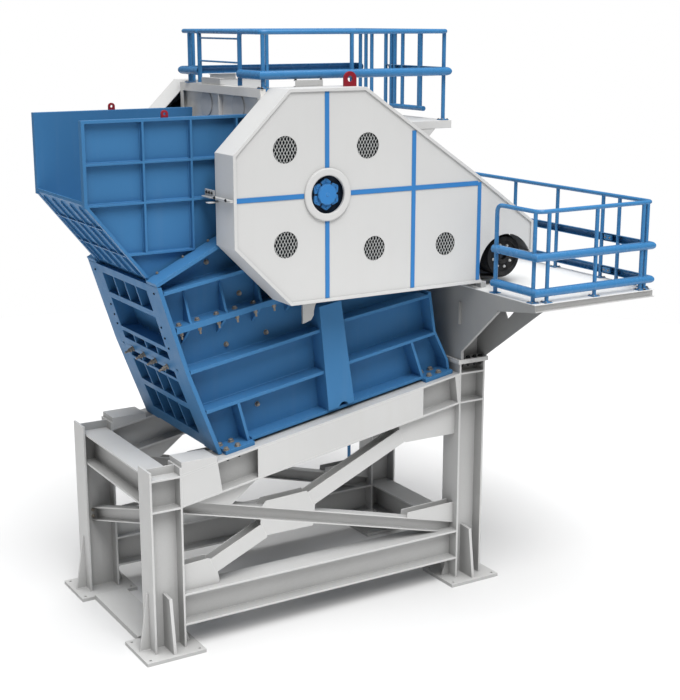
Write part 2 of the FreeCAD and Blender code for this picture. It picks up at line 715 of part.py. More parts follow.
def side_outline():
    """The crusher's side plate, seen from the side."""
    return [(V["front_top_x"], V["front_top_z"]), (V["front_kink_x"], V["front_kink_z"]),
            (V["front_low_x"], V["front_low_z"] + V["foot_gap"]),
            (V["rear_low_x"], incline_z(V["rear_low_x"]) + 30),
            (V["rear_mid_x"], V["rear_mid_z"]), (V["rear_up_x"], V["rear_up_z"]),
            (V["rear_top_x"], V["rear_top_z"]), (900, 3990), (430, V["hub_z"] - 60),
            (-760, V["hub_z"] - 60), (-1000, flange_z(-1000))]


def crusher_sides():
    middle = (V["side_outer"] + V["side_inner"]) / 2
    thick = V["side_outer"] - V["side_inner"]
    outline = side_outline()
    plate = prism("crusher_side_plate", "XZ_Plane", outline, thick, -middle)
    seat = prism("crusher_side_seat", "XZ_Plane",
                 [(V["hub_x"] - 430, V["hub_z"] - 60), (V["hub_x"] - 430, V["hub_z"] - 400),
                  (V["hub_x"] + 430, V["hub_z"] - 400), (V["hub_x"] + 430, V["hub_z"] - 60)],
                 V["housing_out"] - V["housing_in"], -(V["housing_in"] + V["housing_out"]) / 2)
    bore_rod = rod("crusher_side_bore", V["housing_radius"] - 70,
                   (V["hub_x"], -1100, V["hub_z"]), (V["hub_x"], -500, V["hub_z"]))
    whole = cut("crusher_side", fuse("crusher_side_blank", [plate, seat]), bore_rod)
    both_sides("crusher_sides", [whole])


def front_face(name, z_top, z_low, height_x, y_low, y_high, depth, back=0):
    """A slab behind the sloping front face, between two heights."""
    outline = [(height_x(z_top) + back, z_top), (height_x(z_low) + back, z_low),
               (height_x(z_low) + back + depth, z_low), (height_x(z_top) + back + depth, z_top)]
    middle = (y_low + y_high) / 2
    return prism(name, "XZ_Plane", outline, y_high - y_low, middle)


def front_lines():
    """The front face's two slopes, each as x at a height."""
    upper = line_height(V["front_top_z"], V["front_top_x"], V["front_kink_z"], V["front_kink_x"])
    lower = line_height(V["front_kink_z"], V["front_kink_x"], V["front_low_z"], V["front_low_x"])
    return upper, lower


def crusher_front():
    """The front wall: two wide uprights, cross members and short ribs between them."""
    upper, lower = front_lines()
    half = V["crusher_half"]
    kink = V["front_kink_z"]
    items = []
    for index, sy in enumerate((-1, 1)):
        low_y = min(sy * half, sy * 610)
        high_y = max(sy * half, sy * 610)
        items.append(front_face("upright_upper_%d" % index, V["front_top_z"], kink, upper,
                                low_y, high_y, V["front_plate"]))
        items.append(front_face("upright_lower_%d" % index, kink, V["front_low_z"] + V["foot_gap"], lower,
                                low_y, high_y, V["front_plate"]))
    skin = V["front_skin"]
    members = [(3922, 3835, upper), (3612, 3545, upper), (3212, 3162, upper),
               (3072, 2996, upper), (2994, 2938, lower), (2856, 2820, lower),
               (2572, 2500, lower), (2222, 2080, lower)]
    for index, (high, low, face) in enumerate(members):
        items.append(front_face("cross_%d" % index, high, low, face, -611, 611, skin))
    items.append(front_face("front_wall_upper", V["front_top_z"], kink, upper, -699, 699, 40,
                            skin - 40))
    items.append(front_face("front_wall_lower", kink, 2080, lower, -699, 699, 40, skin - 40))
    rows = [(3922, 3560, upper), (3175, 2997, upper), (2993, 2530, lower), (2530, 2100, lower)]
    for row, (high, low, face) in enumerate(rows):
        for index, y in enumerate((-305, 0, 305)):
            items.append(front_face("front_rib_%d_%d" % (row, index), high, low, face,
                                    y - 11, y + 11, skin - 20, 4))
    for index, sy in enumerate((-1, 1)):
        low_y = min(sy * 611, sy * 640)
        high_y = max(sy * 611, sy * 640)
        items.append(front_face("front_web_upper_%d" % index, V["front_top_z"], kink, upper,
                                low_y, high_y, skin))
        items.append(front_face("front_web_lower_%d" % index, kink, 2080, lower,
                                low_y, high_y, skin))
    blank = fuse("crusher_front_blank", items)
    middle = (V["side_outer"] + V["side_inner"]) / 2
    thick = V["side_outer"] - V["side_inner"] + 1
    spaces = []
    for index, sy in enumerate((-1, 1)):
        spaces.append(prism("front_space_%d" % index, "XZ_Plane", side_outline(), thick,
                            sy * middle))
    node(cut("crusher_front", blank, gather("front_spaces", spaces)), "crusher_front")


def crusher_rear():
    """Cross members that close the crusher's rear, with the toggle beam between the sides."""
    half = V["side_inner"] - 0.5
    items = [prism("rear_wall_upper", "XZ_Plane",
                   [(1385, 3500), (1425, 3500), (1490, 3090), (1450, 3060)], 2 * half, 0),
             prism("rear_beam", "XZ_Plane",
                   [(1080, 3060), (1450, 3090), (1640, 2740), (1640, 2560), (1240, 2560)],
                   2 * half, 0)]
    for index, y in enumerate((-350, 0, 350)):
        items.append(prism("rear_rib_%d" % index, "XZ_Plane",
                           [(1385, 3500), (1450, 3060), (1120, 3060), (1250, 3420)], 30, y))
    node(fuse("crusher_rear", items), "crusher_rear")


def rib_band(name, x_a, z_a, x_b, z_b, thick, inner, outer):
    """One straight side rib: top edge from a to b, standing out from the side plate."""
    rise = line_height(x_a, z_a, x_b, z_b)
    middle = -(inner + outer) / 2
    return prism(name, "XZ_Plane", band(x_a, x_b, rise, thick), outer - inner, middle)


def side_ribs():
    """Ribs, bolted joint flange, feet and the smooth panel on the crusher's outer sides."""
    inner = V["side_outer"]
    outer = V["crusher_half"]
    thick = V["rib_thick"]
    items = []

    def front_x(z):
        """Where the rear face of the front upright stands at height z."""
        if z > V["front_kink_z"]:
            span = V["front_kink_x"] - V["front_top_x"]
            drop = V["front_top_z"] - V["front_kink_z"]
            return V["front_top_x"] + (V["front_top_z"] - z) * span / drop + V["front_plate"]
        span = V["front_low_x"] - V["front_kink_x"]
        drop = V["front_kink_z"] - V["front_low_z"]
        return V["front_kink_x"] + (V["front_kink_z"] - z) * span / drop + V["front_plate"]

    def level(z_front, x_end, deep):
        """Start and end of a rib that leaves the front upright at one height."""
        start = front_x(z_front - deep) + 1
        return start, z_front, x_end, z_front + (x_end - start) * SLOPE

    ribs = [("rib_top", 3868, 60, thick), ("rib_joint", 3481, 60, 62), ("rib_three", 3014, 60, thick),
            ("rib_four", 2564, 60, thick)]
    for name, z_front, x_end, deep in ribs:
        x_a, z_a, x_b, z_b = level(z_front, x_end, deep)
        items.append(rib_band(name, x_a, z_a, x_b, z_b, deep, inner, outer))
    rear = [("rib_rear_top", 250, 3348, 1420, 3512, 34), ("rib_rear_mid", 345, 2869, 1500, 3065, 34)]
    for name, x_a, z_a, x_b, z_b, deep in rear:
        items.append(rib_band(name, x_a, z_a, x_b, z_b, deep, inner, outer))
    items.append(prism("top_flange", "XZ_Plane",
                       [(-1905, flange_z(-1905)), (-1010, flange_z(-1010)),
                        (-1030, flange_z(-1030) + 46), (-1925, flange_z(-1925) + 46)],
                       outer - V["side_inner"], -(V["side_inner"] + outer) / 2))
    panel = [(-48, 3530), (223, 3575), (396, 2405), (66, 2349)]
    notch = rod("panel_notch", 62, (262, -1100, 2368), (262, -700, 2368))
    plate = prism("smooth_panel", "XZ_Plane", panel, outer - inner + 34,
                  -(inner + outer + 34) / 2)
    items.append(cut("smooth_panel_cut", plate, notch))
    foot = []
    for index, (x_a, x_b) in enumerate([(-1212, -870), (1340, 1712)]):
        foot.append(prism("foot_%d" % index, "XZ_Plane",
                          [(x_a, incline_z(x_a) + 0.2), (x_b, incline_z(x_b) + 0.2),
                           (x_b, incline_z(x_b) + 42), (x_a, incline_z(x_a) + 42)],
                          "sizes.crusher_half + 62 - sizes.side_outer",
                          -(inner + outer + 62) / 2))
    items += foot
    items.append(prism("sole", "XZ_Plane",
                       [(-870, incline_z(-870) + 34), (1340, incline_z(1340) + 34),
                        (1340, incline_z(1340) + 66), (-870, incline_z(-870) + 66)],
                       outer - inner, -(inner + outer) / 2))
    uprights = [("foot_rib_front", (-1041, 2605), (-914, 2125)),
                ("foot_rib_rear", (1155, 3000), (1330, 2520))]
    for name, high, low in uprights:
        items.append(prism(name, "XZ_Plane",
                           [(high[0], high[1]), (high[0] + 32, high[1]),
                            (low[0] + 32, low[1]), (low[0], low[1])],
                           outer - inner, -(inner + outer) / 2))
    edge = [(V["rear_top_x"], V["rear_top_z"]), (V["rear_up_x"], V["rear_up_z"]),
            (V["rear_mid_x"], V["rear_mid_z"]), (V["rear_low_x"], incline_z(V["rear_low_x"]) + 30)]
    shifted = [(x - 32, z) for x, z in reversed(edge)]
    items.append(prism("rear_edge", "XZ_Plane", edge + shifted, outer - inner,
                       -(inner + outer) / 2))
    for index, x in enumerate((-1560, -1150, -740, -330)):
        z = 3481 + (x - front_x(3481)) * SLOPE
        items.append(prism("joint_web_up_%d" % index, "YZ_Plane",
                           [(-inner, z - 20), (-outer + 4, z - 20), (-outer + 60, z + 30),
                            (-inner, z + 310)], 26, x + 30))
        items.append(prism("joint_web_low_%d" % index, "YZ_Plane",
                           [(-inner, z - 50), (-outer + 14, z - 50), (-outer + 40, z - 90),
                            (-inner, z - 240)], 26, x))
    both_sides("side_ribs", [fuse("side_ribs_near", items)])


def bearing_housings():
    """Split housings for the main bearings, on the side plates."""
    x = V["hub_x"]
    z = V["hub_z"]
    inner = V["housing_in"]
    outer = V["housing_out"]
    drum = rod("housing_drum", "sizes.housing_radius", (x, -outer, z), (x, -inner, z))
    lugs = box("housing_lugs", 860, outer - inner, 110, (x - 430, -outer, z - 60))
    bore = rod("housing_bore", "sizes.bore_radius", (x, -1200, z), (x, -400, z))
    low = prism("housing_trim", "XZ_Plane",
                [(x - 500, z - 60), (x + 500, z - 60), (x + 500, z - 600), (x - 500, z - 600)],
                600, -(inner + outer) / 2)
    body = cut("housing_top", fuse("housing_blank", [drum, lugs]), low)
    lower = rod("housing_lower_drum", V["housing_radius"] - 70, (x, -outer, z),
                (x, -inner, z))
    whole = cut("housing_whole", fuse("housing_pair", [body, lower]), bore)
    both_sides("bearing_housings", [whole])


# ---------------------------------------------------------------- crushing chamber

def jaws():
    """Fixed jaw on the front wall, swing jaw hung on the shaft and the side liners."""
    half = V["side_inner"] - 32
    upper, lower = front_lines()
    back = V["front_skin"] + 0.3
    kink = V["front_kink_z"]
    fixed = [(upper(3880) + back, 3880), (upper(3880) + back + 90, 3880),
             (V["front_kink_x"] + back + 105, kink - 60), (lower(2230) + back + 80, 2230),
             (lower(2230) + back, 2230), (V["front_kink_x"] + back, kink)]
    teeth = prism("fixed_jaw_plate", "XZ_Plane", fixed, 2 * half, 0)
    node(teeth, "fixed_jaw")
    x = V["hub_x"]
    z = V["hub_z"]
    swing = [(x - 300, z - 40), (x - 360, z - 330), (-760, 2420), (-640, 2310), (-380, 2360),
             (60, 3500), (x + 330, z - 160), (x + 250, z + 160), (x, z + 280),
             (x - 230, z + 190)]
    blank = prism("swing_jaw_blank", "XZ_Plane", swing, 2 * half, 0)
    bore = rod("swing_jaw_bore", "sizes.bore_radius", (x, -900, z), (x, 900, z))
    node(cut("swing_jaw", blank, bore), "swing_jaw")
    toggle = prism("toggle_plate", "XZ_Plane",
                   [(-354.9, 2424), (-378.8, 2362), (1214, 2640), (1194.8, 2700)], 900, 0)
    node(toggle, "toggle_plate")
    liner = [(-1500, 3850), (-1215, 2900), (-960, 2260), (-720, 2330), (-560, 4150), (-900, 4300)]
    cheek = prism("cheek_plate", "XZ_Plane", liner, 30, -(V["side_inner"] - 15.2))
    both_sides("cheek_plates", [cheek])


def rotor():
    """The shaft, the two flywheels and the clamp rings that hold them."""
    x = V["hub_x"]
    z = V["hub_z"]
    shaft = rod("shaft_bar", "sizes.shaft_radius", (x, -1330, z), (x, 1330, z))
    node(shaft, "main_shaft")
    wheel = wheel_solid("flywheel_near", x, z, -V["wheel_y"], V["wheel_radius"], V["wheel_wide"])
    both_sides("flywheels", [wheel])
    ring = clamp_solid("clamp", x, z)
    both_sides("hub_clamps", [ring])


def wheel_solid(name, x, z, y, radius, wide):
    """A rim with a dished web and a hub, bored for the shaft."""
    rim = rod(name + "_disc", radius, (x, y - wide / 2, z), (x, y + wide / 2, z))
    hollow_a = rod(name + "_hollow_a", radius - 150, (x, y - wide / 2 - 1, z), (x, y - 60, z))
    hollow_b = rod(name + "_hollow_b", radius - 150, (x, y + 60, z), (x, y + wide / 2 + 1, z))
    hub = rod(name + "_hub", 250, (x, y - wide / 2, z), (x, y + wide / 2, z))
    bore = rod(name + "_bore", V["shaft_radius"], (x, y - 400, z), (x, y + 400, z))
    dished = cut(name + "_dished", rim, gather(name + "_hollows", [hollow_a, hollow_b]))
    return cut(name, fuse(name + "_solid", [dished, hub]), bore)


def clamp_solid(name, x, z):
    """A ring of six clamp segments with a round cap over the shaft's end."""
    outline = []
    for index in range(6):
        angle = math.radians(30 + 60 * index)
        for turn in (-0.36, 0.36):
            outline.append((x + 176 * math.cos(angle + turn), z + 176 * math.sin(angle + turn)))
    face = -V["wheel_y"] - V["wheel_wide"] / 2
    ring = prism(name + "_ring", "XZ_Plane", outline, 60, face - 30)
    bore = rod(name + "_bore", V["shaft_radius"], (x, face - 80, z), (x, face + 10, z))
    cap = rod(name + "_cap", 132, (x, -1331, z), (x, -1352, z))
    hole = cut(name + "_holed", ring, bore)
    return fuse(name, [hole, cap])


# ---------------------------------------------------------------- guards

def guard_outline(shrink):
    """The drive guard's front, taken in evenly by the given amount on its upper sides."""
    outline = [(-1247, 4308), (-1247, 5238), (-610, 5861), (291, 5861), (1727, 4893),
               (2535, 4319), (2535, 3962), (2170, 3962), (2170, 3676), (-610, 3674)]
    return outline


def head_outline():
    """The far guard's front: the same head with no belt tail."""
    return [(-1247, 4308), (-1247, 5238), (-610, 5861), (291, 5861), (905, 5238), (905, 4308),
            (291, 3674), (-610, 3674)]


def inset(outline, gap):
    """The same outline moved in by a gap, for a convex or nearly convex shape."""
    count = len(outline)
    area = sum(outline[i][0] * outline[(i + 1) % count][1]
               - outline[(i + 1) % count][0] * outline[i][1] for i in range(count))
    side = 1 if area > 0 else -1
    moved = []
    for i in range(count):
        before = outline[i - 1]
        here = outline[i]
        after = outline[(i + 1) % count]
        d1 = (here[0] - before[0], here[1] - before[1])
        d2 = (after[0] - here[0], after[1] - here[1])
        l1 = math.hypot(*d1)
        l2 = math.hypot(*d2)
        n1 = (-d1[1] / l1 * side, d1[0] / l1 * side)
        n2 = (-d2[1] / l2 * side, d2[0] / l2 * side)
        scale = gap / (1 + n1[0] * n2[0] + n1[1] * n2[1])
        moved.append((here[0] + (n1[0] + n2[0]) * scale, here[1] + (n1[1] + n2[1]) * scale))
    return moved


def guard_shell(name, outline, vents, tail):
    """A sheet guard on the drive side, open towards the machine."""
    sheet_thick = V["guard_sheet"]
    deep = V["guard_out"] - V["guard_in"]
    middle = -(V["guard_in"] + V["guard_out"]) / 2
    outer = prism(name + "_outer", "XZ_Plane", outline, deep, middle)
    hollow = prism(name + "_hollow", "XZ_Plane", inset(outline, sheet_thick), deep,
                   middle + 15 + sheet_thick)
    recess = prism(name + "_recess", "XZ_Plane", inset(outline, V["guard_rim"]), 20,
                   -V["guard_out"] + 5)
    tools = [hollow, recess]
    x = V["hub_x"]
    tools.append(rod(name + "_hub_hole", "sizes.hub_ring_in", (x, -1500, V["hub_z"]),
                     (x, -1300, V["hub_z"])))
    for index, (vx, vz, scale) in enumerate(vents):
        tools.append(rod("%s_vent_%d" % (name, index), V["vent_radius"] * scale,
                         (vx, -1500, vz), (vx, -1300, vz)))
    if tail:
        tools.append(rod(name + "_half_round", "sizes.cut_radius",
                         (V["cut_x"], -1500, V["cut_z"]), (V["cut_x"], -900, V["cut_z"])))
    holder = doc.addObject("Part::MultiFuse", name + "_tools")
    holder.Shapes = tools
    return cut(name, outer, holder)


NEAR_VENTS = [(-660, 5267, 1.0), (318, 5265, 0.98), (-659, 4308, 1.0), (405, 4184, 0.95),
              (1323, 4155, 0.92)]
FAR_VENTS = [(-660, 5267, 1.0), (318, 5265, 0.98), (-659, 4308, 1.0), (318, 4308, 0.98)]


def guards():
    near = guard_shell("guard_near", guard_outline(0), NEAR_VENTS, True)
    far = mirror("guard_far", guard_shell("guard_head", head_outline(), FAR_VENTS, False))
    node(near, "drive_guard")
    node(far, "flywheel_guard")
    screens = []
    face = V["guard_out"] - 15 - V["guard_sheet"] - 0.2
    for index, (x, z, scale) in enumerate(NEAR_VENTS):
        screens.append(rod("screen_near_%d" % index, V["vent_radius"] * scale + 14,
                           (x, -face, z), (x, -face + 3, z)))
    for index, (x, z, scale) in enumerate(FAR_VENTS):
        screens.append(rod("screen_far_%d" % index, V["vent_radius"] * scale + 14,
                           (x, face - 3, z), (x, face, z)))
    node(gather("vent_screens_set", screens), "vent_screens")
    x = V["hub_x"]
    z = V["hub_z"]
    ring = cut("hub_ring", rod("hub_ring_disc", "sizes.hub_ring_out",
                               (x, -V["guard_out"] + 14.8, z), (x, -V["guard_out"] - 6, z)),
               rod("hub_ring_hole", "sizes.hub_ring_in", (x, -1500, z), (x, -1300, z)))
    both_sides("hub_rings", [ring])


def strip(name, x_a, x_b, z_a, z_b):
    """A thin blue strip on the guard's recessed face."""
    face = V["guard_out"] - 15
    return box(name, x_b - x_a, 5, z_b - z_a, (x_a, -face - 5, z_a))


def guard_strips():
    half = V["strip_wide"] / 2
    x = V["hub_x"]
    z = V["hub_z"]
    ring = V["hub_ring_out"]
    items = [strip("strip_up", x - half, x + half, z + ring + 1, 5828),
             strip("strip_down", x - half, x + half, 3710, z - ring - 1),
             strip("strip_left", -1213, x - ring - 1, z - half, z + half),
             fuse("strip_cross", [strip("strip_right", x + ring + 1, 1748, z - half, z + half),
                                  strip("strip_second", 870, 920, 3710, 5395),
                                  strip("strip_third", 1747, 1794, 3710, 4800)])]
    far = [mirror("strip_up_far", items[0]), mirror("strip_down_far", items[1]),
           mirror("strip_left_far", items[2]),
           mirror("strip_right_far", strip("strip_right_head", x + ring + 1, 871,
                                           z - half, z + half))]
    node(gather("guard_strips_set", items + far), "guard_strips")


def guard_brackets():
    """Angle brackets that tie the guards to the crusher and the platform."""
    items = [prism("bracket_under", "XZ_Plane",
                   [(-250, 3673), (6, 3673), (-60, 3618), (-98, 3560), (-116, 3500),
                    (-118, 3450), (-150, 3400), (-250, 3368)], 30, -V["crusher_half"] - 15.3),
             box("bracket_foot", 70, 90, 68.4, (1850, -1330, V["platform_top"] + 0.3))]
    items.append(mirror("bracket_under_far", items[0]))
    for index, sy in enumerate((-1, 1)):
        items.append(box("bracket_left_%d" % index, 110, 68, 10,
                         (-1357.3, sy * 1003 - 34, 4740)))
    node(gather("guard_brackets_set", items), "guard_brackets")


# ---------------------------------------------------------------- drive

def drive():
    x = V["pulley_x"]
    z = V["pulley_z"]
    y = -V["wheel_y"]
    wide = V["belt_wide"]
    disc = rod("pulley_disc", "sizes.pulley_radius", (x, y - wide / 2 - 12, z),
               (x, y + wide / 2 + 12, z))
    hub_bore = rod("pulley_bore", 40, (x, y - 300, z), (x, y + 300, z))
    hollow = rod("pulley_hollow", V["pulley_radius"] - 45, (x, y - wide / 2 - 30, z),
                 (x, y - wide / 2 + 40, z))
    node(cut("motor_pulley", disc, gather("pulley_tools", [hub_bore, hollow])), "motor_pulley")
    body = rod("motor_body", 265, (x, -1010 + 60, z), (x, -120, z))
    cover = rod("motor_cover", 235, (x, -120, z), (x, 20, z))
    stud = rod("motor_stub", 34, (x, -1240, z), (x, -950, z))
    node(fuse("motor_whole", [body, cover, stud]), "motor")
    base = V["platform_top"]
    feet = [box("motor_rail_a", 70, 760, 60, (x - 260, -930, base)),
            box("motor_rail_b", 70, 760, 60, (x + 190, -930, base))]
    saddle = prism("motor_saddle", "XZ_Plane",
                   [(x - 250, base + 40), (x + 250, base + 40), (x + 215, z - 60),
                    (x - 215, z - 60)], 620, -560)
    room = rod("motor_room", 265.3, (x, -1000, z), (x, 0, z))
    node(cut("motor_base", fuse("motor_base_blank", feet + [saddle]), room), "motor_base")
    belt_loop()


def belt_loop():
    """One fixed loop round the flywheel and the pulley, clear of both."""
    x1 = V["hub_x"]
    z1 = V["hub_z"]
    x2 = V["pulley_x"]
    z2 = V["pulley_z"]
    gap = V["belt_gap"]
    loops = []
    for extra in (gap, gap + V["belt_thick"]):
        r1 = V["wheel_radius"] + extra
        r2 = V["pulley_radius"] + extra
        run = math.hypot(x2 - x1, z2 - z1)
        along = math.atan2(z2 - z1, x2 - x1)
        spread = math.acos((r1 - r2) / run)
        top = along + spread
        low = along - spread
        points = []
        for radius, cx, cz, angle in ((r1, x1, z1, top), (r2, x2, z2, top), (r2, x2, z2, low),
                                      (r1, x1, z1, low)):
            points.append(FreeCAD.Vector(cx + radius * math.cos(angle), 0,
                                         cz + radius * math.sin(angle)))
        nose = FreeCAD.Vector(x2 + r2 * math.cos(along), 0, z2 + r2 * math.sin(along))
        heel = FreeCAD.Vector(x1 - r1 * math.cos(along), 0, z1 - r1 * math.sin(along))
        edges = [Part.makeLine(points[0], points[1]),
                 Part.Arc(points[1], nose, points[2]).toShape(),
                 Part.makeLine(points[2], points[3]),
                 Part.Arc(points[3], heel, points[0]).toShape()]
        loops.append(Part.Face(Part.Wire(edges)).extrude(FreeCAD.Vector(0, V["belt_wide"], 0)))
    belt = doc.addObject("Part::Feature", "drive_belt")
    belt.Shape = loops[1].cut(loops[0])
    belt.Placement.Base = FreeCAD.Vector(0, -V["wheel_y"] - V["belt_wide"] / 2, 0)
    node(belt, "drive_belt")


# ---------------------------------------------------------------- hopper

def hopper_outline():
    foot = V["front_top_z"] + 0.3
    return [(V["hopper_front"], V["hopper_top"]), (V["hopper_front"], V["hopper_lip"]),
            (-1985, 4082), (-1880, foot), (-1800, foot), (-780, 4520),
            (V["hopper_rear"], V["hopper_top"])]


def hopper():
    outer = V["hopper_half"]
    rib = V["hopper_rib"]
    plate = V["hopper_plate"]
    inner = outer - rib
    thick = V["hopper_rib_thick"]
    front = V["hopper_front"]
    top = V["hopper_top"]
    wall = prism("hopper_wall", "XZ_Plane", hopper_outline(), "sizes.hopper_plate",
                 -(inner - plate / 2))
    middle = -(inner + outer) / 2

    def bar(name, x_a, x_b, z_a, z_b):
        return box(name, x_b - x_a, rib, z_b - z_a, (x_a, -outer, z_a))

    items = [wall, bar("hopper_top_rim", front, V["hopper_rear"], top - 30, top),
             bar("hopper_end_rim", front, front + 34, V["hopper_lip"] - 20, top),
             bar("hopper_rib_high", front, V["hopper_rear"], 5143, 5143 + thick),
             bar("hopper_rib_mid", front, V["hopper_rear"], 4740, 4740 + thick),
             bar("hopper_rib_low", -2105, -1392, 4226, 4226 + thick),
             bar("hopper_post_a", -1920, -1920 + thick, 4230, top),
             bar("hopper_post_b", -1397, -1397 + thick, 4230, top),
             bar("hopper_post_c", -880, -880 + thick, 4600, top)]
    items.append(prism("hopper_slope_rim", "XZ_Plane",
                       [(front, V["hopper_lip"]), (-1928, 3988), (-1893, 3990),
                        (front + 34, V["hopper_lip"] + 4)], rib, middle))
    both_sides("hopper_sides", [fuse("hopper_side", items)])
    half = inner - plate - 0.2
    floor = prism("hopper_chute", "XZ_Plane",
                  [(front, V["hopper_lip"] + 10), (-1838, V["front_top_z"] + 0.3),
                   (-1808, V["front_top_z"] + 0.3), (front + 10, V["hopper_lip"] + 42),
                   (front, V["hopper_lip"] + 42)],
                  2 * half, 0)
    items = [floor]
    for index, y in enumerate((-520, -260, 0, 260, 520)):
        items.append(prism("hopper_stringer_%d" % index, "XZ_Plane",
                           [(front + 20, V["hopper_lip"] - 10), (front + 21, V["hopper_lip"] - 46),
                            (-1932, 3990), (-1880, 3990)], 16, y))
    for index, (x, z) in enumerate([(-2330, 4440), (-2090, 4150)]):
        items.append(prism("hopper_cross_%d" % index, "XZ_Plane",
                           [(x, z + 90), (x - 27, z + 67), (x - 15, z + 53), (x + 14, z + 78)],
                           2 * half, 0))
    node(fuse("hopper_floor", items), "hopper_floor")


def lugs():
    """Lifting eyes on the hopper rims and the guards' tops."""
    items = []
    for index, (x, z, y, size) in enumerate([(-1660, V["hopper_top"], -700, 37),
                                             (214, 5861.2, -1173, 76)]):
        plate = box("lug_plate_%d" % index, 2 * size, 20, size, (x - size, y - 10, z))
        head = rod("lug_head_%d" % index, size, (x, y - 10, z + size), (x, y + 10, z + size))
        hole = rod("lug_hole_%d" % index, size * 0.4, (x, y - 30, z + size),
                   (x, y + 30, z + size))
        items.append(cut("lug_%d" % index, fuse("lug_blank_%d" % index, [plate, head]), hole))
    both_sides("lifting_lugs", items)


def ladder():
    """The ladder to the drive platform on the far side."""
    y = V["platform_half"] + 60
    items = []
    for index, x in enumerate((2440, 2840)):
        items.append(rod("ladder_side_%d" % index, 24, (x, y, 0), (x, y, V["platform_top"] + 995)))
        items.append(box("ladder_tie_%d" % index, 30, 90, 30, (x - 15, y - 89.7, V["platform_top"] - 65)))
    for index in range(14):
        z = 400 + index * 290
        if z < V["platform_top"] - 5:
            items.append(rod("ladder_rung_%d" % index, 14, (2440, y, z), (2840, y, z)))
    node(fuse("ladder", items), "ladder")


base_plates()
columns()
column_gussets()
base_beams()
cross_beams()
end_brace()
side_braces()
inclined_beams()
beam_covers()
rear_supports()
drive_platform()
drive_railings()
walk_railings()
walkway()
back_panel()
crusher_sides()
crusher_front()
crusher_rear()
side_ribs()
bearing_housings()
jaws()
rotor()
guards()
guard_strips()
guard_brackets()
drive()
hopper()
lugs()
ladder()

doc.recompute()
faults = []
for item in doc.Objects:
    if "Invalid" in item.State or "Error" in item.State:
        faults.append(item.Name)
for item in NODES:
    if item.Shape.isNull() or not item.Shape.isValid():
        faults.append(item.Label)
if faults:
    raise SystemExit("faults: " + ", ".join(faults))
os.makedirs("parts", exist_ok=True)
for item in NODES:
    item.Shape.exportStep("parts/" + item.Label + ".step")
    box_size = item.Shape.BoundBox
    print("%-20s solids %3d  x %6.0f %6.0f  y %6.0f %6.0f  z %6.0f %6.0f" % (
        item.Label, len(item.Shape.Solids), box_size.XMin, box_size.XMax, box_size.YMin,
        box_size.YMax, box_size.ZMin, box_size.ZMax))
print("sub-parts", len(NODES))
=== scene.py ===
import math

import bmesh
import bpy
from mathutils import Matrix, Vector


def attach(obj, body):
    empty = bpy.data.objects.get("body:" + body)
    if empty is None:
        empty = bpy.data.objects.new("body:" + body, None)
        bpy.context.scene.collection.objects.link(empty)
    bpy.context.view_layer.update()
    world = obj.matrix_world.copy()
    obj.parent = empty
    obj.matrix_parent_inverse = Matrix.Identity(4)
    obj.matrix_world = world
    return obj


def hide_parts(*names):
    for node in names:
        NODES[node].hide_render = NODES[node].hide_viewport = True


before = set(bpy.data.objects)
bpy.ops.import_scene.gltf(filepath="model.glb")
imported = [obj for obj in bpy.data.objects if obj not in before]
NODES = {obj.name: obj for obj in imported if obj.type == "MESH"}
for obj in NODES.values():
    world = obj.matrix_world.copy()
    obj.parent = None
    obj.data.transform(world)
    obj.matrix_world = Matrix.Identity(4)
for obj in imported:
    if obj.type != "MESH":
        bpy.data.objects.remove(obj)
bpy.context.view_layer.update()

bl_info = {
    "name": "Jaw crusher looks",
    "version": (1, 0, 0),
    "blender": (4, 5, 0),
    "location": "View3D > Sidebar > Crusher",
    "description": "Finishes and small parts for the jaw crusher on its support frame",
    "category": "Object",
}

# the CAD part's places and sizes that the small parts follow, in millimetres
INCLINE = math.radians(9.6)
SLOPE = math.tan(INCLINE)
HUB = (-173.0, 4790.0)
PULLEY = (2190.0, 3930.0)
WHEEL_RADIUS = 930
PULLEY_RADIUS = 225
BELT_Y = -1165
BELTS = 8
BELT_PITCH = 25
COLUMN_X = 1941
COLUMN_Y = 939
HALF_DEEP = 180
PLATFORM_TOP = 3605
WALK_TOP = 5450
POST_RADIUS = 22


# ------------------------------------------------------------------ settings


def linear(code):
    """An sRGB hex colour as linear RGBA."""
    parts = []
    for index in (0, 2, 4):
        value = int(code[index:index + 2], 16) / 255
        parts.append(value / 12.92 if value <= 0.04045 else ((value + 0.055) / 1.055) ** 2.4)
    return (*parts, 1.0)


def colour_setting(name, description, code):
    """One colour of the panel, with its default given as hex."""
    return bpy.props.FloatVectorProperty(name=name, description=description, subtype="COLOR",
                                         size=4, min=0.0, max=1.0, default=linear(code))


def length_setting(name, description, millimetres):
    """One length of the panel, with its default given in millimetres."""
    return bpy.props.FloatProperty(name=name, description=description, unit="LENGTH", min=0.0,
                                   default=millimetres / 1000)


class CrusherColours(bpy.types.PropertyGroup):
    """Colours of the finishes."""

    blue: colour_setting("Crusher blue", "Sprayed enamel of crusher and hopper", "457EB0")
    rail: colour_setting("Rail blue", "Enamel of the railings and the ladder", "3E83BB")
    strip: colour_setting("Strip blue", "Enamel of the guards' strips and hub clamps", "3D86CA")
    white: colour_setting("Guard white", "Powder coat of the guards", "DBDBDA")
    grey: colour_setting("Frame grey", "Sprayed enamel of the support frame", "D0D0CF")
    wall: colour_setting("Bulkhead grey", "Darker enamel of the bulkheads", "A2A3A3")
    # the panel's grey is raised near white, painted light that lifts it out of its shade
    panel: colour_setting("Panel grey", "Enamel of the wall behind the hopper", "F2F0EC")
    red: colour_setting("Lug red", "Enamel of the lifting lugs", "9A2230")
    iron: colour_setting("Pulley black", "Black paint on the motor pulley", "1B1C1E")
    zinc: colour_setting("Bolt zinc", "Plated bolts and nuts, a little dulled", "989187")
    floor: colour_setting("Floor", "Studio floor", "E4E4E4")


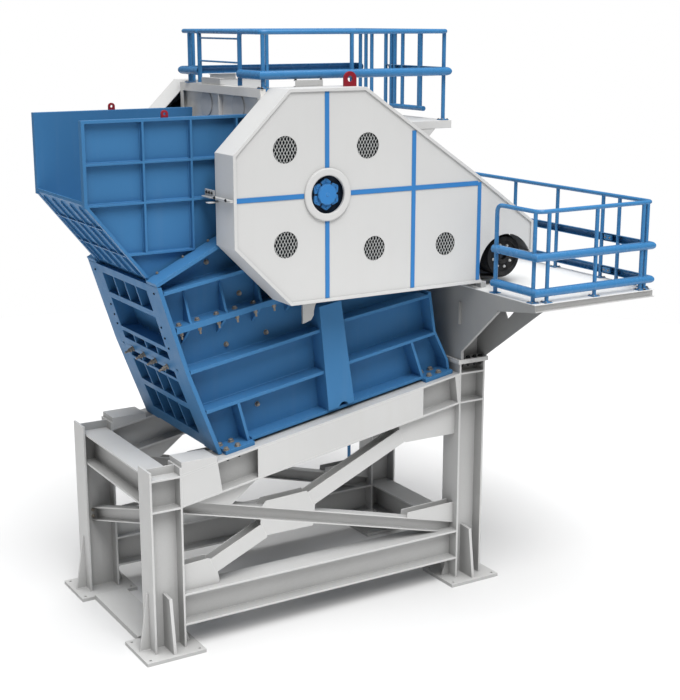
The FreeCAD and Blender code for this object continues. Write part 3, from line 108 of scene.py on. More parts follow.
class CrusherSizes(bpy.types.PropertyGroup):
    """Sizes of the small parts."""

    bolt_radius: length_setting("Bolt head", "Radius of a flange bolt head over its corners", 25)
    rail_radius: length_setting("Top rail", "Radius of the railings' top tube", 24)
    guard_rail: length_setting("Half-round rail", "Radius of the middle and low rails", 45)
    weld: length_setting("Weld leg", "Leg length of the fillet welds", 9)
    mesh_pitch: length_setting("Vent mesh pitch", "Width of one cell of the expanded metal", 37)


def colours():
    return bpy.context.scene.crusher_colours


def sizes():
    return bpy.context.scene.crusher_sizes


# ------------------------------------------------------------------ materials


def feed(item, inputs):
    """Set or link a node's inputs, each named or numbered."""
    for key, value in inputs.items():
        if isinstance(value, bpy.types.NodeSocket):
            item.id_data.links.new(value, item.inputs[key])
        else:
            item.inputs[key].default_value = value


def node(tree, kind, inputs=None, **settings):
    """Add one node with its settings and its inputs."""
    item = tree.nodes.new(kind)
    for key, value in settings.items():
        setattr(item, key, value)
    feed(item, inputs or {})
    return item


def per_metre(millimetres):
    """Texture scale for a pattern whose features are this far apart."""
    return 1000.0 / millimetres


def darker(colour, share):
    return tuple(value * share for value in colour[:3]) + (1.0,)


def start_material(name):
    """An empty material with its tree, its output, a shader and object coordinates."""
    material = bpy.data.materials.new(name)
    material.use_nodes = True
    tree = material.node_tree
    tree.nodes.clear()
    shader = node(tree, "ShaderNodeBsdfPrincipled")
    node(tree, "ShaderNodeOutputMaterial", {"Surface": shader.outputs[0]})
    place = node(tree, "ShaderNodeTexCoord").outputs["Object"]
    return material, tree, shader, place


def patches(tree, place, millimetres, span, reach, detail=4.0):
    """Soft patches of a real size, from reach[0] to reach[1] where the noise crosses the span."""
    cloud = node(tree, "ShaderNodeTexNoise", {
        "Vector": place, "Scale": per_metre(millimetres), "Detail": detail})
    return node(tree, "ShaderNodeMapRange", {
        "Value": cloud.outputs["Fac"], "From Min": span[0], "From Max": span[1],
        "To Min": reach[0], "To Max": reach[1]}).outputs[0]


def over(tree, tones):
    """Lay colours over each other: a first colour, then (mask, colour) pairs."""
    below = tones[0]
    for mask, colour in tones[1:]:
        below = node(tree, "ShaderNodeMix", {0: mask, 6: below, 7: colour},
                     data_type="RGBA").outputs[2]
    return below


def edge_mask(tree, millimetres, share):
    """A mask of sharp edges and the normal that rounds them, over a real radius."""
    soft = node(tree, "ShaderNodeBevel", {"Radius": millimetres / 1000}, samples=4)
    flat = node(tree, "ShaderNodeNewGeometry")
    dot = node(tree, "ShaderNodeVectorMath", {0: soft.outputs[0], 1: flat.outputs["Normal"]},
               operation="DOT_PRODUCT")
    mask = node(tree, "ShaderNodeMapRange", {
        "Value": dot.outputs["Value"], "From Min": 0.995, "From Max": 0.90,
        "To Min": 0.0, "To Max": share})
    return mask.outputs[0], soft.outputs[0]


def relief(tree, height, strength, millimetres, **below):
    """The normal of a relief of a real depth, on top of the rounded normal if one is given."""
    return node(tree, "ShaderNodeBump", {"Height": height, "Strength": strength,
                                         "Distance": millimetres / 1000, **below}).outputs[0]


def enamel(name, colour, rough, peel=0.05, dust=0.05, edge="FFFFFF", edge_highlight_share=0.2, shade=0.93,
           painted_shade=0.35, sheen=0.25):
    """Sprayed paint: tone drift, dust streaks, painted shade in corners, a painted highlight on
    edges, orange peel.
    """
    material, tree, shader, place = start_material(name)
    colour = tuple(colour)
    # one coat drifts in tone over about a metre, as the spray laps
    drift = patches(tree, place, 1100, (0.35, 0.65), (0.0, 1.0))
    # dust runs down in streaks about 110 mm apart
    runs = node(tree, "ShaderNodeMapping", {"Vector": place, "Scale": (9.0, 9.0, 0.7)})
    film = patches(tree, runs.outputs[0], 1000, (0.52, 0.80), (0.0, dust), 5.0)
    # painted shade darkens corners nearer than 450 mm, found by ambient occlusion
    hidden = node(tree, "ShaderNodeAmbientOcclusion", {"Distance": 0.45}, samples=4)
    corner = node(tree, "ShaderNodeMapRange", {
        "Value": hidden.outputs["AO"], "From Min": 0.30, "From Max": 0.95, "To Min": painted_shade,
        "To Max": 0.0})
    # edges rounded to about 6 mm get a paler colour there, a painted highlight
    edges, soft = edge_mask(tree, 6, edge_highlight_share)
    # the darkest layer is painted shade in corners, the palest a painted highlight on edges
    tone = over(tree, [darker(colour, shade), (drift, colour), (film, linear("B9B4AA")),
                       (corner.outputs[0], darker(colour, 0.18)), (edges, linear(edge))])
    # wiped and weathered spots about 170 mm wide differ in gloss
    gloss = patches(tree, place, 170, (0.3, 0.7), (rough - 0.05, rough + 0.07))
    # orange peel is about 2 mm wide, drawn at 4 mm so that it shows
    ripple = node(tree, "ShaderNodeTexNoise", {"Vector": place, "Scale": per_metre(4),
                                               "Detail": 2.0})
    feed(shader, {"Base Color": tone, "Roughness": gloss, "Specular IOR Level": sheen,
                  "Normal": relief(tree, ripple.outputs["Fac"], peel, 0.8, Normal=soft)})
    return material


def bare_metal(name, colour, rough, grain, anisotropic=0.0, metallic=0.9, stain=0.45):
    """Unpainted metal: oily stain, uneven polish and tool marks or plating grain."""
    material, tree, shader, place = start_material(name)
    # stain gathers in patches about 70 mm wide
    spots = patches(tree, place, 70, (0.42, 0.75), (0.0, stain), 5.0)
    tone = over(tree, [tuple(colour), (spots, linear("6E665B"))])
    # handling dulls the surface about every 30 mm
    gloss = patches(tree, place, 30, (0.3, 0.7), (rough - 0.08, rough + 0.12), 3.0)
    soft = edge_mask(tree, 2, 0.0)[1]
    marks = node(tree, "ShaderNodeTexNoise", {"Vector": place, "Scale": per_metre(grain),
                                              "Detail": 4.0})
    feed(shader, {"Base Color": tone, "Metallic": metallic, "Anisotropic": anisotropic,
                  "Roughness": gloss,
                  "Normal": relief(tree, marks.outputs["Fac"], 0.25, 0.8, Normal=soft)})
    return material


def cast(name, colour, rough, metallic):
    """Sand-cast steel: a pitted skin, rubbed bright where stone slides over it."""
    material, tree, shader, place = start_material(name)
    # stone polishes patches about 330 mm wide
    rub = patches(tree, place, 330, (0.5, 0.7), (0.0, 0.5), 6.0)
    tone = over(tree, [tuple(colour), (rub, linear("8C8882"))])
    # sand leaves pits about 11 mm apart
    pits = node(tree, "ShaderNodeTexVoronoi", {"Vector": place, "Scale": per_metre(11)})
    soft = edge_mask(tree, 5, 0.0)[1]
    feed(shader, {"Base Color": tone, "Metallic": metallic, "Roughness": rough,
                  "Normal": relief(tree, pits.outputs["Distance"], 0.35, 2, Normal=soft)})
    return material


def rubber(name, colour):
    """Moulded belt rubber: matt, a little chalky, with a fine cloth grain."""
    material, tree, shader, place = start_material(name)
    # chalk and dust in patches about 125 mm long
    chalk = patches(tree, place, 125, (0.5, 0.8), (0.0, 0.3), 5.0)
    tone = over(tree, [tuple(colour), (chalk, linear("4A4A48"))])
    # the cloth's weave is about 1 mm, drawn at 5.5 mm so that it shows
    weave = node(tree, "ShaderNodeTexNoise", {"Vector": place, "Scale": per_metre(5.5),
                                              "Detail": 3.0})
    feed(shader, {"Base Color": tone, "Roughness": 0.72,
                  "Normal": relief(tree, weave.outputs["Fac"], 0.3, 1)})
    return material


def tread(name, colour):
    """Painted tread plate: raised lozenges in two directions, scuffed where people walk."""
    material, tree, shader, place = start_material(name)
    heights = []
    # lozenges about 62 mm long and 25 mm wide, crossed at right angles
    for turn, shift in ((0.785, 0.0), (-0.785, 0.5)):
        turned = node(tree, "ShaderNodeMapping", {
            "Vector": place, "Rotation": (0.0, 0.0, turn), "Location": (shift, shift, 0.0),
            "Scale": (per_metre(62), per_metre(25), 0.0)})
        cells = node(tree, "ShaderNodeTexVoronoi", {"Vector": turned.outputs[0], "Scale": 1.0,
                                                    "Randomness": 0.0})
        heights.append(node(tree, "ShaderNodeMapRange", {
            "Value": cells.outputs["Distance"], "From Min": 0.16, "From Max": 0.30,
            "To Min": 1.0, "To Max": 0.0}).outputs[0])
    top = node(tree, "ShaderNodeMath", {0: heights[0], 1: heights[1]}, operation="MAXIMUM")
    # boots scuff patches about 400 mm wide
    scuff = patches(tree, place, 400, (0.45, 0.75), (0.0, 0.6), 6.0)
    colour = tuple(colour)
    tone = over(tree, [colour, (scuff, darker(colour, 0.88))])
    feed(shader, {"Base Color": tone, "Roughness": 0.5,
                  "Normal": relief(tree, top.outputs[0], 0.5, 2)})
    return material


MATERIALS = {}


def make_materials():
    c = colours()
    # every enamel here gets painted shade in its corners and a painted highlight on its edges, in
    # its pale edge colour
    MATERIALS.update({
        # two-pack enamel sprayed on fabricated steel: satin, deep blue, with a painted highlight
        # on its edges
        "blue": enamel("two_pack_enamel_sprayed_blue", c.blue, 0.40, 0.05, 0.03, "6FAEE8", 0.30,
                       0.93, 0.16, 0.10),
        # the same enamel on drawn tube: a brighter, slightly glossier blue
        "rail": enamel("enamel_sprayed_on_tube", c.rail, 0.26, 0.03, 0.03, "8CC0EA", 0.25,
                       0.93, 0.35, 0.5),
        # touch-up enamel on flat bar: the most saturated blue
        "strip": enamel("enamel_brushed_on_flat_bar", c.strip, 0.38, 0.06, 0.03, "8CC0EA", 0.2),
        # powder coat baked on sheet: even, near white, fine peel
        "white": enamel("powder_coat_baked_white", c.white, 0.45, 0.08, 0.04, "FFFFFF", 0.25,
                        0.97),
        # enamel on hot-rolled sections: pale grey, dusty, soft sheen
        "grey": enamel("enamel_on_rolled_sections", c.grey, 0.48, 0.06, 0.08, "FFFFFF", 0.50,
                       0.95, 0.50),
        # the same enamel, darker, on the bulkhead plates
        "wall": enamel("enamel_on_plate_dark", c.wall, 0.50, 0.06, 0.10, "C4C4C4", 0.25, 0.92),
        # and on the panel behind the hopper, its grey raised near white as painted light
        "panel": enamel("enamel_on_panel", c.panel, 0.50, 0.06, 0.08, "FFFFFF", 0.25, 0.94,
                        0.12),
        # brushed enamel over flame-cut plate: deep red, a little lumpy
        "red": enamel("enamel_brushed_red", c.red, 0.38, 0.08, 0.04, "D0707A", 0.25),
        # primer-like enamel on cast wheels: near-black blue
        "wheel": enamel("enamel_on_cast_iron_navy", linear("16283D"), 0.5, 0.15, 0.08, "35506E"),
        # machinery enamel on the motor's cast body: slate grey
        "motor": enamel("enamel_on_cast_iron_slate", linear("59616B"), 0.5, 0.15, 0.10,
                        "8A929B"),
        # black paint on turned iron and on oxidised bolts
        "black": enamel("black_paint_on_iron", c.iron, 0.45, 0.12, 0.08, "55575A", 0.3),
        # painted shade standing for the unlit depths behind mesh and in drain holes: matt, nearly
        # black
        "dark": enamel("painted_shade_black", linear("10161E"), 0.7, 0.05, 0.02, "202A36", 0.1),
        # zinc plate on forged bolts: dull, brownish, plating grain about 8 mm as it shows
        "zinc": bare_metal("zinc_plated_forged_steel", c.zinc, 0.45, 8, metallic=0.45),
        # turned and ground shaft steel: brushed one way, tool marks 3 mm apart
        "steel": bare_metal("turned_steel", linear("9A9A98"), 0.32, 3, 0.4, 0.95),
        # slit and stretched sheet, galvanised: pale, faintly speckled
        "screen": bare_metal("expanded_galvanised_sheet", linear("D2D4D3"), 0.5, 6, 0.0, 0.3,
                             0.15),
        # work-hardened manganese steel castings: brown-black, rubbed bright
        "manganese": cast("cast_manganese_steel", linear("4A4540"), 0.55, 0.7),
        "rubber": rubber("moulded_belt_rubber", linear("161616")),
        "tread": tread("tread_plate_enamel", linear("F0F0EF")),
    })



# ------------------------------------------------------------------ mesh helpers


def circle(radius, count, centre=(0.0, 0.0), first=0.0):
    """Points evenly round a circle, the first one at an angle in degrees."""
    angles = [math.radians(first + 360 * k / count) for k in range(count)]
    return [(centre[0] + radius * math.cos(a), centre[1] + radius * math.sin(a)) for a in angles]


def on_axis(axis, along, a, b):
    """A point at one place along an axis, with a and b across it."""
    return {"x": (along, a, b), "y": (a, along, b), "z": (a, b, along)}[axis]


def mesh(name, points, edges=(), faces=()):
    """A mesh in metres from points in millimetres."""
    data = bpy.data.meshes.new(name)
    data.from_pydata([Vector(point) * 0.001 for point in points], edges, faces)
    return data


class Shape:
    """Vertices and faces gathered for one piece, in millimetres."""

    def __init__(self):
        self.verts = []
        self.faces = []

    def add(self, verts, faces):
        base = len(self.verts)
        self.verts += [tuple(v) for v in verts]
        self.faces += [tuple(base + i for i in f) for f in faces]

    def skin(self, rings, loop=False, section_closed=True):
        """Faces from ring to ring; a row that isn't a loop has its two ends closed."""
        count = len(rings)
        width = len(rings[0])
        faces = []
        for i in range(count if loop else count - 1):
            j = (i + 1) % count
            for k in range(width if section_closed else width - 1):
                m = (k + 1) % width
                faces.append((i * width + k, i * width + m, j * width + m, j * width + k))
        if not loop:
            faces.append(tuple(range(width))[::-1])
            faces.append(tuple((count - 1) * width + k for k in range(width)))
        self.add([point for ring in rings for point in ring], faces)

    def prism(self, outline, axis, low, high, bevel=2.0):
        """An outline in the plane across an axis, drawn out between two places."""
        bm = bmesh.new()
        first, last = [[bm.verts.new(on_axis(axis, place, a, b)) for a, b in outline]
                       for place in (low, high)]
        bm.faces.new(first)
        bm.faces.new(last[::-1])
        for i in range(len(outline)):
            bm.faces.new((first[i - 1], last[i - 1], last[i], first[i]))
        bmesh.ops.recalc_face_normals(bm, faces=bm.faces[:])
        if bevel:
            bmesh.ops.bevel(bm, geom=bm.edges[:], offset=bevel, segments=2, affect="EDGES")
        bm.verts.index_update()
        self.add([v.co for v in bm.verts], [[v.index for v in f.verts] for f in bm.faces])
        bm.free()

    def block(self, low, high, bevel=2.0):
        """A box between two corners, with chamfered edges."""
        outline = [(low[1], low[2]), (high[1], low[2]), (high[1], high[2]), (low[1], high[2])]
        self.prism(outline, "x", low[0], high[0], bevel)

    def turned(self, centre, axis, profile, count=64):
        """A solid of revolution: profile is (radius, place along the axis) pairs."""
        rings = []
        for a, b in circle(1.0, count):
            local = [on_axis(axis, along, radius * a, radius * b) for radius, along in profile]
            rings.append([[centre[i] + point[i] for i in range(3)] for point in local])
        self.skin(rings, loop=True, section_closed=False)

    def sweep(self, path, section):
        """Draw a section (side, up) along a path with mitred corners."""
        points = [Vector(p) for p in path]
        steps = [(b - a).normalized() for a, b in zip(points, points[1:])]
        lift = Vector((0, 0, 1))
        if abs(steps[0].dot(lift)) > 0.999:
            lift = Vector((1, 0, 0))
        rings = []
        for before, here, after in zip(steps[:1] + steps, points, steps + steps[-1:]):
            tangent = (before + after).normalized()
            lift = (lift - tangent * lift.dot(tangent)).normalized()
            side = tangent.cross(lift)
            bend = after - before
            bend -= tangent * bend.dot(tangent)
            offsets = [side * a + lift * b for a, b in section]
            if bend.length > 1e-4:
                bend.normalize()
                stretch = 1 / max(0.35, tangent.dot(after)) - 1
                offsets = [offset + bend * offset.dot(bend) * stretch for offset in offsets]
            rings.append([here + offset for offset in offsets])
        self.skin(rings)

    def tube(self, path, radius, bend=0.0, count=16):
        """A round tube whose corners are bent with the given radius."""
        self.sweep(rounded(path, bend), circle(radius, count))

    def done(self, name, material, body="frame", replaces=()):
        """Make the gathered faces one piece at the origin with one finish."""
        data = mesh(name, self.verts, faces=self.faces)
        data.validate()
        data.materials.append(MATERIALS[material])
        place_piece(name, data, body, replaces, outward=True)


def in_scene(name, data):
    """A new object in the scene, at the origin."""
    item = bpy.data.objects.new(name, data)
    bpy.context.scene.collection.objects.link(item)
    return item


def place_piece(name, data, body, replaces=(), outward=False):
    """Put a mesh in the scene, smoothed, on its body and what it stands for."""
    smooth_by_angle(data, outward)
    item = in_scene(name, data)
    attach(item, body)
    if replaces:
        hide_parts(*replaces)


def smooth_by_angle(data, outward, limit=0.6):
    """Smooth faces, with edges kept sharp where faces meet at more than the limit."""
    bm = bmesh.new()
    bm.from_mesh(data)
    if outward:
        bmesh.ops.recalc_face_normals(bm, faces=bm.faces[:])
    for face in bm.faces:
        face.smooth = True
    for edge in bm.edges:
        if len(edge.link_faces) == 2:
            edge.smooth = edge.calc_face_angle(0.0) < limit
    bm.to_mesh(data)
    bm.free()


def half_round(radius, wall, count=12):
    """Section of a half-round rail: round outside, hollow inside."""
    angles = [math.pi * (0.5 - k / count) for k in range(count + 1)]
    outer = [(radius * math.cos(a), radius * math.sin(a)) for a in angles]
    inner = [((radius - wall) * math.cos(a), (wall - radius) * math.sin(a)) for a in angles]
    lip = radius * 0.42
    return ([(-lip, radius)] + outer + [(-lip, -radius), (-lip, wall - radius)] + inner
            + [(-lip, radius - wall)])


def rounded(path, radius, steps=6):
    """A path whose inner corners are replaced with arcs of the given radius."""
    points = [Vector(p) for p in path]
    if not radius:
        return points
    out = points[:1]
    for here, corner, there in zip(points, points[1:], points[2:]):
        before = here - corner
        after = there - corner
        reach = min(radius / math.tan(before.angle(after) / 2), before.length * 0.48,
                    after.length * 0.48)
        first = corner + before.normalized() * reach
        last = corner + after.normalized() * reach
        for k in range(steps + 1):
            t = k / steps
            out.append(first.lerp(corner, t).lerp(corner.lerp(last, t), t))
    return out + points[-1:]


def paint(material, slot, *names):
    """Give CAD nodes their finish."""
    for name in names:
        item = NODES[name]
        item.data.materials.clear()
        item.data.materials.append(MATERIALS[material])


# ------------------------------------------------------------------ geometry nodes


def start_tree(name, inputs):
    """An empty geometry tree with a geometry in and out and the given inputs."""
    tree = bpy.data.node_groups.new(name, "GeometryNodeTree")
    tree.is_modifier = True
    for side in ("OUTPUT", "INPUT"):
        tree.interface.new_socket(name="Geometry", in_out=side,
                                  socket_type="NodeSocketGeometry")
    for label, kind, default in inputs:
        socket = tree.interface.new_socket(name=label, in_out="INPUT", socket_type=kind)
        if default is not None:
            socket.default_value = default
    return tree, node(tree, "NodeGroupInput").outputs


def end_tree(tree, geometry, finish):
    """Make the result real, give it its material and send it out."""
    real = node(tree, "GeometryNodeRealizeInstances", {0: geometry})
    coat = node(tree, "GeometryNodeSetMaterial", {"Geometry": real.outputs[0],
                                                  "Material": finish})
    node(tree, "NodeGroupOutput", {0: coat.outputs[0]})
    return tree


def bolt_tree():
    """Hexagon bolts with washers on every point, turned at random about their own axis."""
    tree, given = start_tree("hex_bolts_on_points", [
        ("Head Radius", "NodeSocketFloat", 0.03), ("Head Height", "NodeSocketFloat", 0.02),
        ("Shank Length", "NodeSocketFloat", 0.0), ("Seed", "NodeSocketInt", 4),
        ("Finish", "NodeSocketMaterial", None)])
    size = {"radius": given["Head Radius"], "tall": given["Head Height"],
            "shank long": given["Shank Length"]}
    for key, source, share in (
            ("crown top", "radius", 0.72), ("crown foot", "radius", 0.86),
            ("crown tall", "tall", 0.14), ("washer", "radius", 1.28), ("washer tall", "tall", 0.2),
            ("shank", "radius", 0.52), ("head up", "tall", 0.68), ("crown up", "tall", 1.18),
            ("washer up", "tall", 0.1), ("shank up", "shank long", 0.5)):
        size[key] = node(tree, "ShaderNodeMath", {0: size[source], 1: share},
                         operation="MULTIPLY").outputs[0]
    whole = node(tree, "GeometryNodeJoinGeometry")
    for kind, sides, inputs, lift in (
            ("GeometryNodeMeshCylinder", 6, {"Radius": "radius", "Depth": "tall"}, "head up"),
            ("GeometryNodeMeshCone", 24, {"Radius Top": "crown top", "Depth": "crown tall",
                                          "Radius Bottom": "crown foot"}, "crown up"),
            ("GeometryNodeMeshCylinder", 24, {"Radius": "washer", "Depth": "washer tall"},
             "washer up"),
            ("GeometryNodeMeshCylinder", 16, {"Radius": "shank", "Depth": "shank long"},
             "shank up")):
        inputs = {key: size[value] for key, value in inputs.items()}
        inputs["Vertices"] = sides
        part = node(tree, kind, inputs)
        shift = node(tree, "ShaderNodeCombineXYZ", {"Z": size[lift]})
        moved = node(tree, "GeometryNodeTransform", {"Geometry": part.outputs["Mesh"],
                                                     "Translation": shift.outputs[0]})
        feed(whole, {0: moved.outputs[0]})
    facing = node(tree, "GeometryNodeInputNamedAttribute", {"Name": "facing"},
                  data_type="FLOAT_VECTOR")
    spin = node(tree, "FunctionNodeRandomValue", {2: 0.0, 3: math.pi / 3, "Seed": given["Seed"]},
                data_type="FLOAT")
    about = node(tree, "ShaderNodeCombineXYZ", {"Z": spin.outputs[1]})
    align = node(tree, "FunctionNodeAlignRotationToVector", {"Vector": facing.outputs[0]},
                 axis="Z")
    euler = node(tree, "FunctionNodeEulerToRotation", {0: about.outputs[0]})
    turn = node(tree, "FunctionNodeRotateRotation", {0: align.outputs[0], 1: euler.outputs[0]},
                rotation_space="LOCAL")
    points = node(tree, "GeometryNodeMeshToPoints", {0: given["Geometry"]})
    spread = node(tree, "GeometryNodeInstanceOnPoints", {
        "Points": points.outputs[0], "Instance": whole.outputs[0], "Rotation": turn.outputs[0]})
    return end_tree(tree, spread.outputs[0], given["Finish"])


def screen_tree():
    """Expanded metal: strands of one thickness along every line."""
    tree, given = start_tree("expanded_metal_strands", [
        ("Strand", "NodeSocketFloat", 0.004), ("Finish", "NodeSocketMaterial", None)])
    curve = node(tree, "GeometryNodeMeshToCurve", {0: given["Geometry"]})
    section = node(tree, "GeometryNodeCurvePrimitiveCircle", {"Radius": given["Strand"],
                                                              "Resolution": 4})
    strands = node(tree, "GeometryNodeCurveToMesh", {"Curve": curve.outputs[0],
                                                     "Profile Curve": section.outputs[0]})
    return end_tree(tree, strands.outputs[0], given["Finish"])


def weld_tree():
    """A fillet weld: a small bead along each line, rippled with a fixed noise."""
    tree, given = start_tree("fillet_weld_beads", [
        ("Leg", "NodeSocketFloat", 0.009), ("Ripple Pitch", "NodeSocketFloat", 0.03),
        ("Finish", "NodeSocketMaterial", None)])
    curve = node(tree, "GeometryNodeMeshToCurve", {0: given["Geometry"]})
    even = node(tree, "GeometryNodeResampleCurve", {"Curve": curve.outputs[0],
                                                    "Length": given["Ripple Pitch"]},
                mode="LENGTH")
    ripple = node(tree, "ShaderNodeTexNoise", {"Scale": per_metre(17), "Detail": 1.0})
    size = node(tree, "ShaderNodeMapRange", {
        "Value": ripple.outputs["Fac"], "From Min": 0.3, "From Max": 0.7, "To Min": 0.75,
        "To Max": 1.15})
    section = node(tree, "GeometryNodeCurvePrimitiveCircle", {"Radius": given["Leg"],
                                                              "Resolution": 6})
    bead = node(tree, "GeometryNodeCurveToMesh", {
        "Curve": even.outputs[0], "Profile Curve": section.outputs[0],
        "Scale": size.outputs[0]})
    return end_tree(tree, bead.outputs[0], given["Finish"])


TREES = {}


def grown(name, data, build, values, body, replaces=()):
    """Run one node group on a seed mesh and keep the result as a plain piece."""
    if build not in TREES:
        TREES[build] = build()
    seed = in_scene(name + "_seed", data)
    modifier = seed.modifiers.new("grow", "NODES")
    modifier.node_group = TREES[build]
    for item in modifier.node_group.interface.items_tree:
        if item.in_out == "INPUT" and item.name in values:
            modifier[item.identifier] = values[item.name]
    bpy.context.view_layer.update()
    graph = bpy.context.evaluated_depsgraph_get()
    made = bpy.data.meshes.new_from_object(seed.evaluated_get(graph))
    made.name = name
    bpy.data.objects.remove(seed)
    place_piece(name, made, body, replaces)


def bolts(name, seats, radius, height, shank=0.0, finish="zinc", body="frame"):
    """Bolts at seats, each a place and an outward direction, in millimetres."""
    data = mesh(name + "_points", [place for place, facing in seats])
    attribute = data.attributes.new("facing", "FLOAT_VECTOR", "POINT")
    for index, (place, facing) in enumerate(seats):
        attribute.data[index].vector = Vector(facing).normalized()
    values = {"Head Radius": radius * 0.001, "Head Height": height * 0.001,
              "Shank Length": shank * 0.001, "Finish": MATERIALS[finish]}
    grown(name, data, bolt_tree, values, body)


def welds(name, lines, finish):
    """Fillet welds along straight lines on both sides, each a start and an end in millimetres."""
    lines = lines + [[mirrored(point) for point in line] for line in lines]
    data = mesh(name + "_lines", [point for line in lines for point in line],
                [(2 * i, 2 * i + 1) for i in range(len(lines))])
    values = {"Leg": sizes().weld, "Ripple Pitch": 0.03, "Finish": MATERIALS[finish]}
    grown(name, data, weld_tree, values, "frame")


def beam_top(x):
    """Height of the inclined beams' top face."""
    return 2270 + x * SLOPE


def mirrored(point):
    """A place or direction on the other side of the machine."""
    return (point[0], -point[1], point[2])


def both(seats):
    """The same places and directions on both sides of the machine."""
    out = []
    for place, facing in seats:
        out += [(place, facing), (mirrored(place), mirrored(facing))]
    return out


def vents(side):
    """Round vents of one guard, as x, z and radius. The far guard has no belt tail."""
    tail = [(405, 4184, 131), (1323, 4155, 127)] if side < 0 else [(318, 4308, 135)]
    return [(-660, 5267, 138), (318, 5265, 135), (-659, 4308, 138)] + tail


# ------------------------------------------------------------------ operators


class CRUSHER_OT_frame_finish(bpy.types.Operator):
    """Paint the support frame, its bulkheads and its platform floor."""

    bl_idname = "crusher.frame_finish"
    bl_label = "Support frame finish"

    def execute(self, context):
        paint("grey", "frame_paint", "base_plates", "columns_front", "columns_rear",
              "column_gussets", "base_beams", "front_top_beam", "rear_base_beam", "front_sill",
              "end_brace", "long_braces", "short_braces", "joint_plates", "inclined_beams",
              "beam_covers", "end_blocks", "joint_end_plates", "rear_stubs", "platform_frame")
        paint("wall", "frame_paint", "bulkhead_front", "bulkhead_rear")
        paint("tread", "frame_paint", "platform_floor")
        return {"FINISHED"}


class CRUSHER_OT_crusher_finish(bpy.types.Operator):
    """Paint the crusher body, the jaws, the rotor and the drive."""

    bl_idname = "crusher.crusher_finish"
    bl_label = "Crusher finish"

    def execute(self, context):
        paint("blue", "blue_paint", "crusher_sides", "crusher_front", "crusher_rear", "side_ribs",
              "bearing_housings", "swing_jaw", "hopper_sides", "hopper_floor")
        paint("rail", "blue_paint", "ladder")
        paint("strip", "blue_paint", "guard_strips")
        paint("manganese", "manganese_steel", "fixed_jaw", "cheek_plates")
        paint("steel", "bare_steel", "toggle_plate", "main_shaft")
        paint("wheel", "wheel_paint", "flywheels")
        paint("white", "guard_paint", "drive_guard", "flywheel_guard", "hub_rings", "walkway",
              "motor_base")
        paint("grey", "guard_paint", "guard_brackets")
        paint("panel", "panel_paint", "back_panel")
        paint("motor", "motor_paint", "motor")
        paint("red", "lug_paint", "lifting_lugs")
        return {"FINISHED"}


class CRUSHER_OT_crusher_bolts(bpy.types.Operator):
    """Bolts on the crusher's joint flanges, walls, feet and front bar."""

    bl_idname = "crusher.crusher_bolts"
    bl_label = "Crusher bolts"

    def execute(self, context):
        size = sizes().bolt_radius * 1000
        up = (-math.sin(INCLINE), 0, math.cos(INCLINE))
        down = (math.sin(INCLINE), 0, -math.cos(INCLINE))
        top = []
        low = []
        for x in (-1648, -1440, -1222, -1008, -792, -572, -360, -150):
            z = 3481 + (x + 1708) * SLOPE
            top.append(((x, -872, z + 0.5), up))
            low.append(((x + 10, -900, z - 61), down))
        bolts("joint_flange_bolts", both(top), size, 20)
        bolts("joint_flange_nuts", both(low), size * 0.9, 34, 82)
        wall = [(-895, 3732), (-1057, 3199), (-579, 3271), (-698, 2488), (-1266, 4098)]
        seats = [((x, -750, z), (0, -1, 0)) for x, z in wall]
        bolts("liner_bolts", both(seats), size * 0.9, 24, 36)
        outer = [(-1054, -975), (-1190, -975), (1560, -945), (1430, -945)]
        inner = [(-1183, -805), (-1048, -805), (1425, -785), (1556, -785)]
        places = inner[:2] + outer[:2] + inner[2:] + outer[2:]
        feet = [((x, y, beam_top(x) + 42), up) for x, y in places]
        bolts("foot_bolts", both(feet), size * 1.15, 24)
        under = [((x + 6, y, beam_top(x) - 22.5), down) for x, y in outer]
        bolts("foot_nuts", both(under), size, 26, 58, finish="black")
        edge = [((x - 12, -722, 3968 + (x + 1907) * 0.49), (-0.44, 0, 0.898))
                for x in (-1790, -1500, -1210)]
        bolts("top_flange_bolts", both(edge), size * 0.5, 12)
        lower = Vector((-0.936, 0, -0.352))
        bar = [(Vector((-1610, y, 2966)), lower) for y in (-465, -155, 155, 465)]
        bolts("front_bar_bolts", bar, size, 26, 105)
        nuts = [(place + lower * 32, facing) for place, facing in bar]
        bolts("front_bar_locknuts", nuts, size * 0.9, 24)
        # dark discs on the uprights are painted shade of drain holes
        small = [((-1907 + (3922 - z) * 288 / 927, y, z), (-0.955, 0, -0.297))
                 for y, z in ((-810, 3837), (-690, 3450), (-690, 3330), (-700, 3220))]
        bolts("upright_hole_shades", both(small), size * 0.4, 8, finish="dark")
        return {"FINISHED"}


class CRUSHER_OT_frame_bolts(bpy.types.Operator):
    """Bolts through the rear columns' end plates and the end brace."""

    bl_idname = "crusher.frame_bolts"
    bl_label = "Frame bolts"

    def execute(self, context):
        places = [(x, y) for x in (1815, 1895, 1987, 2067) for y in (-1060, -818)]
        top = [((x, y, 2730.2), (0, 0, 1)) for x, y in places]
        bolts("column_joint_bolts", both(top), 24, 20, finish="black")
        low = [((x, y, 2679.8), (0, 0, -1)) for x, y in places]
        bolts("column_joint_nuts", both(low), 24, 22, 44, finish="black")
        ends = [((x, 931.5, z), (0, -1, 0)) for z in (905, 985) for x in (-1885, -1997)]
        bolts("end_brace_bolts", ends, 18, 14)
        return {"FINISHED"}


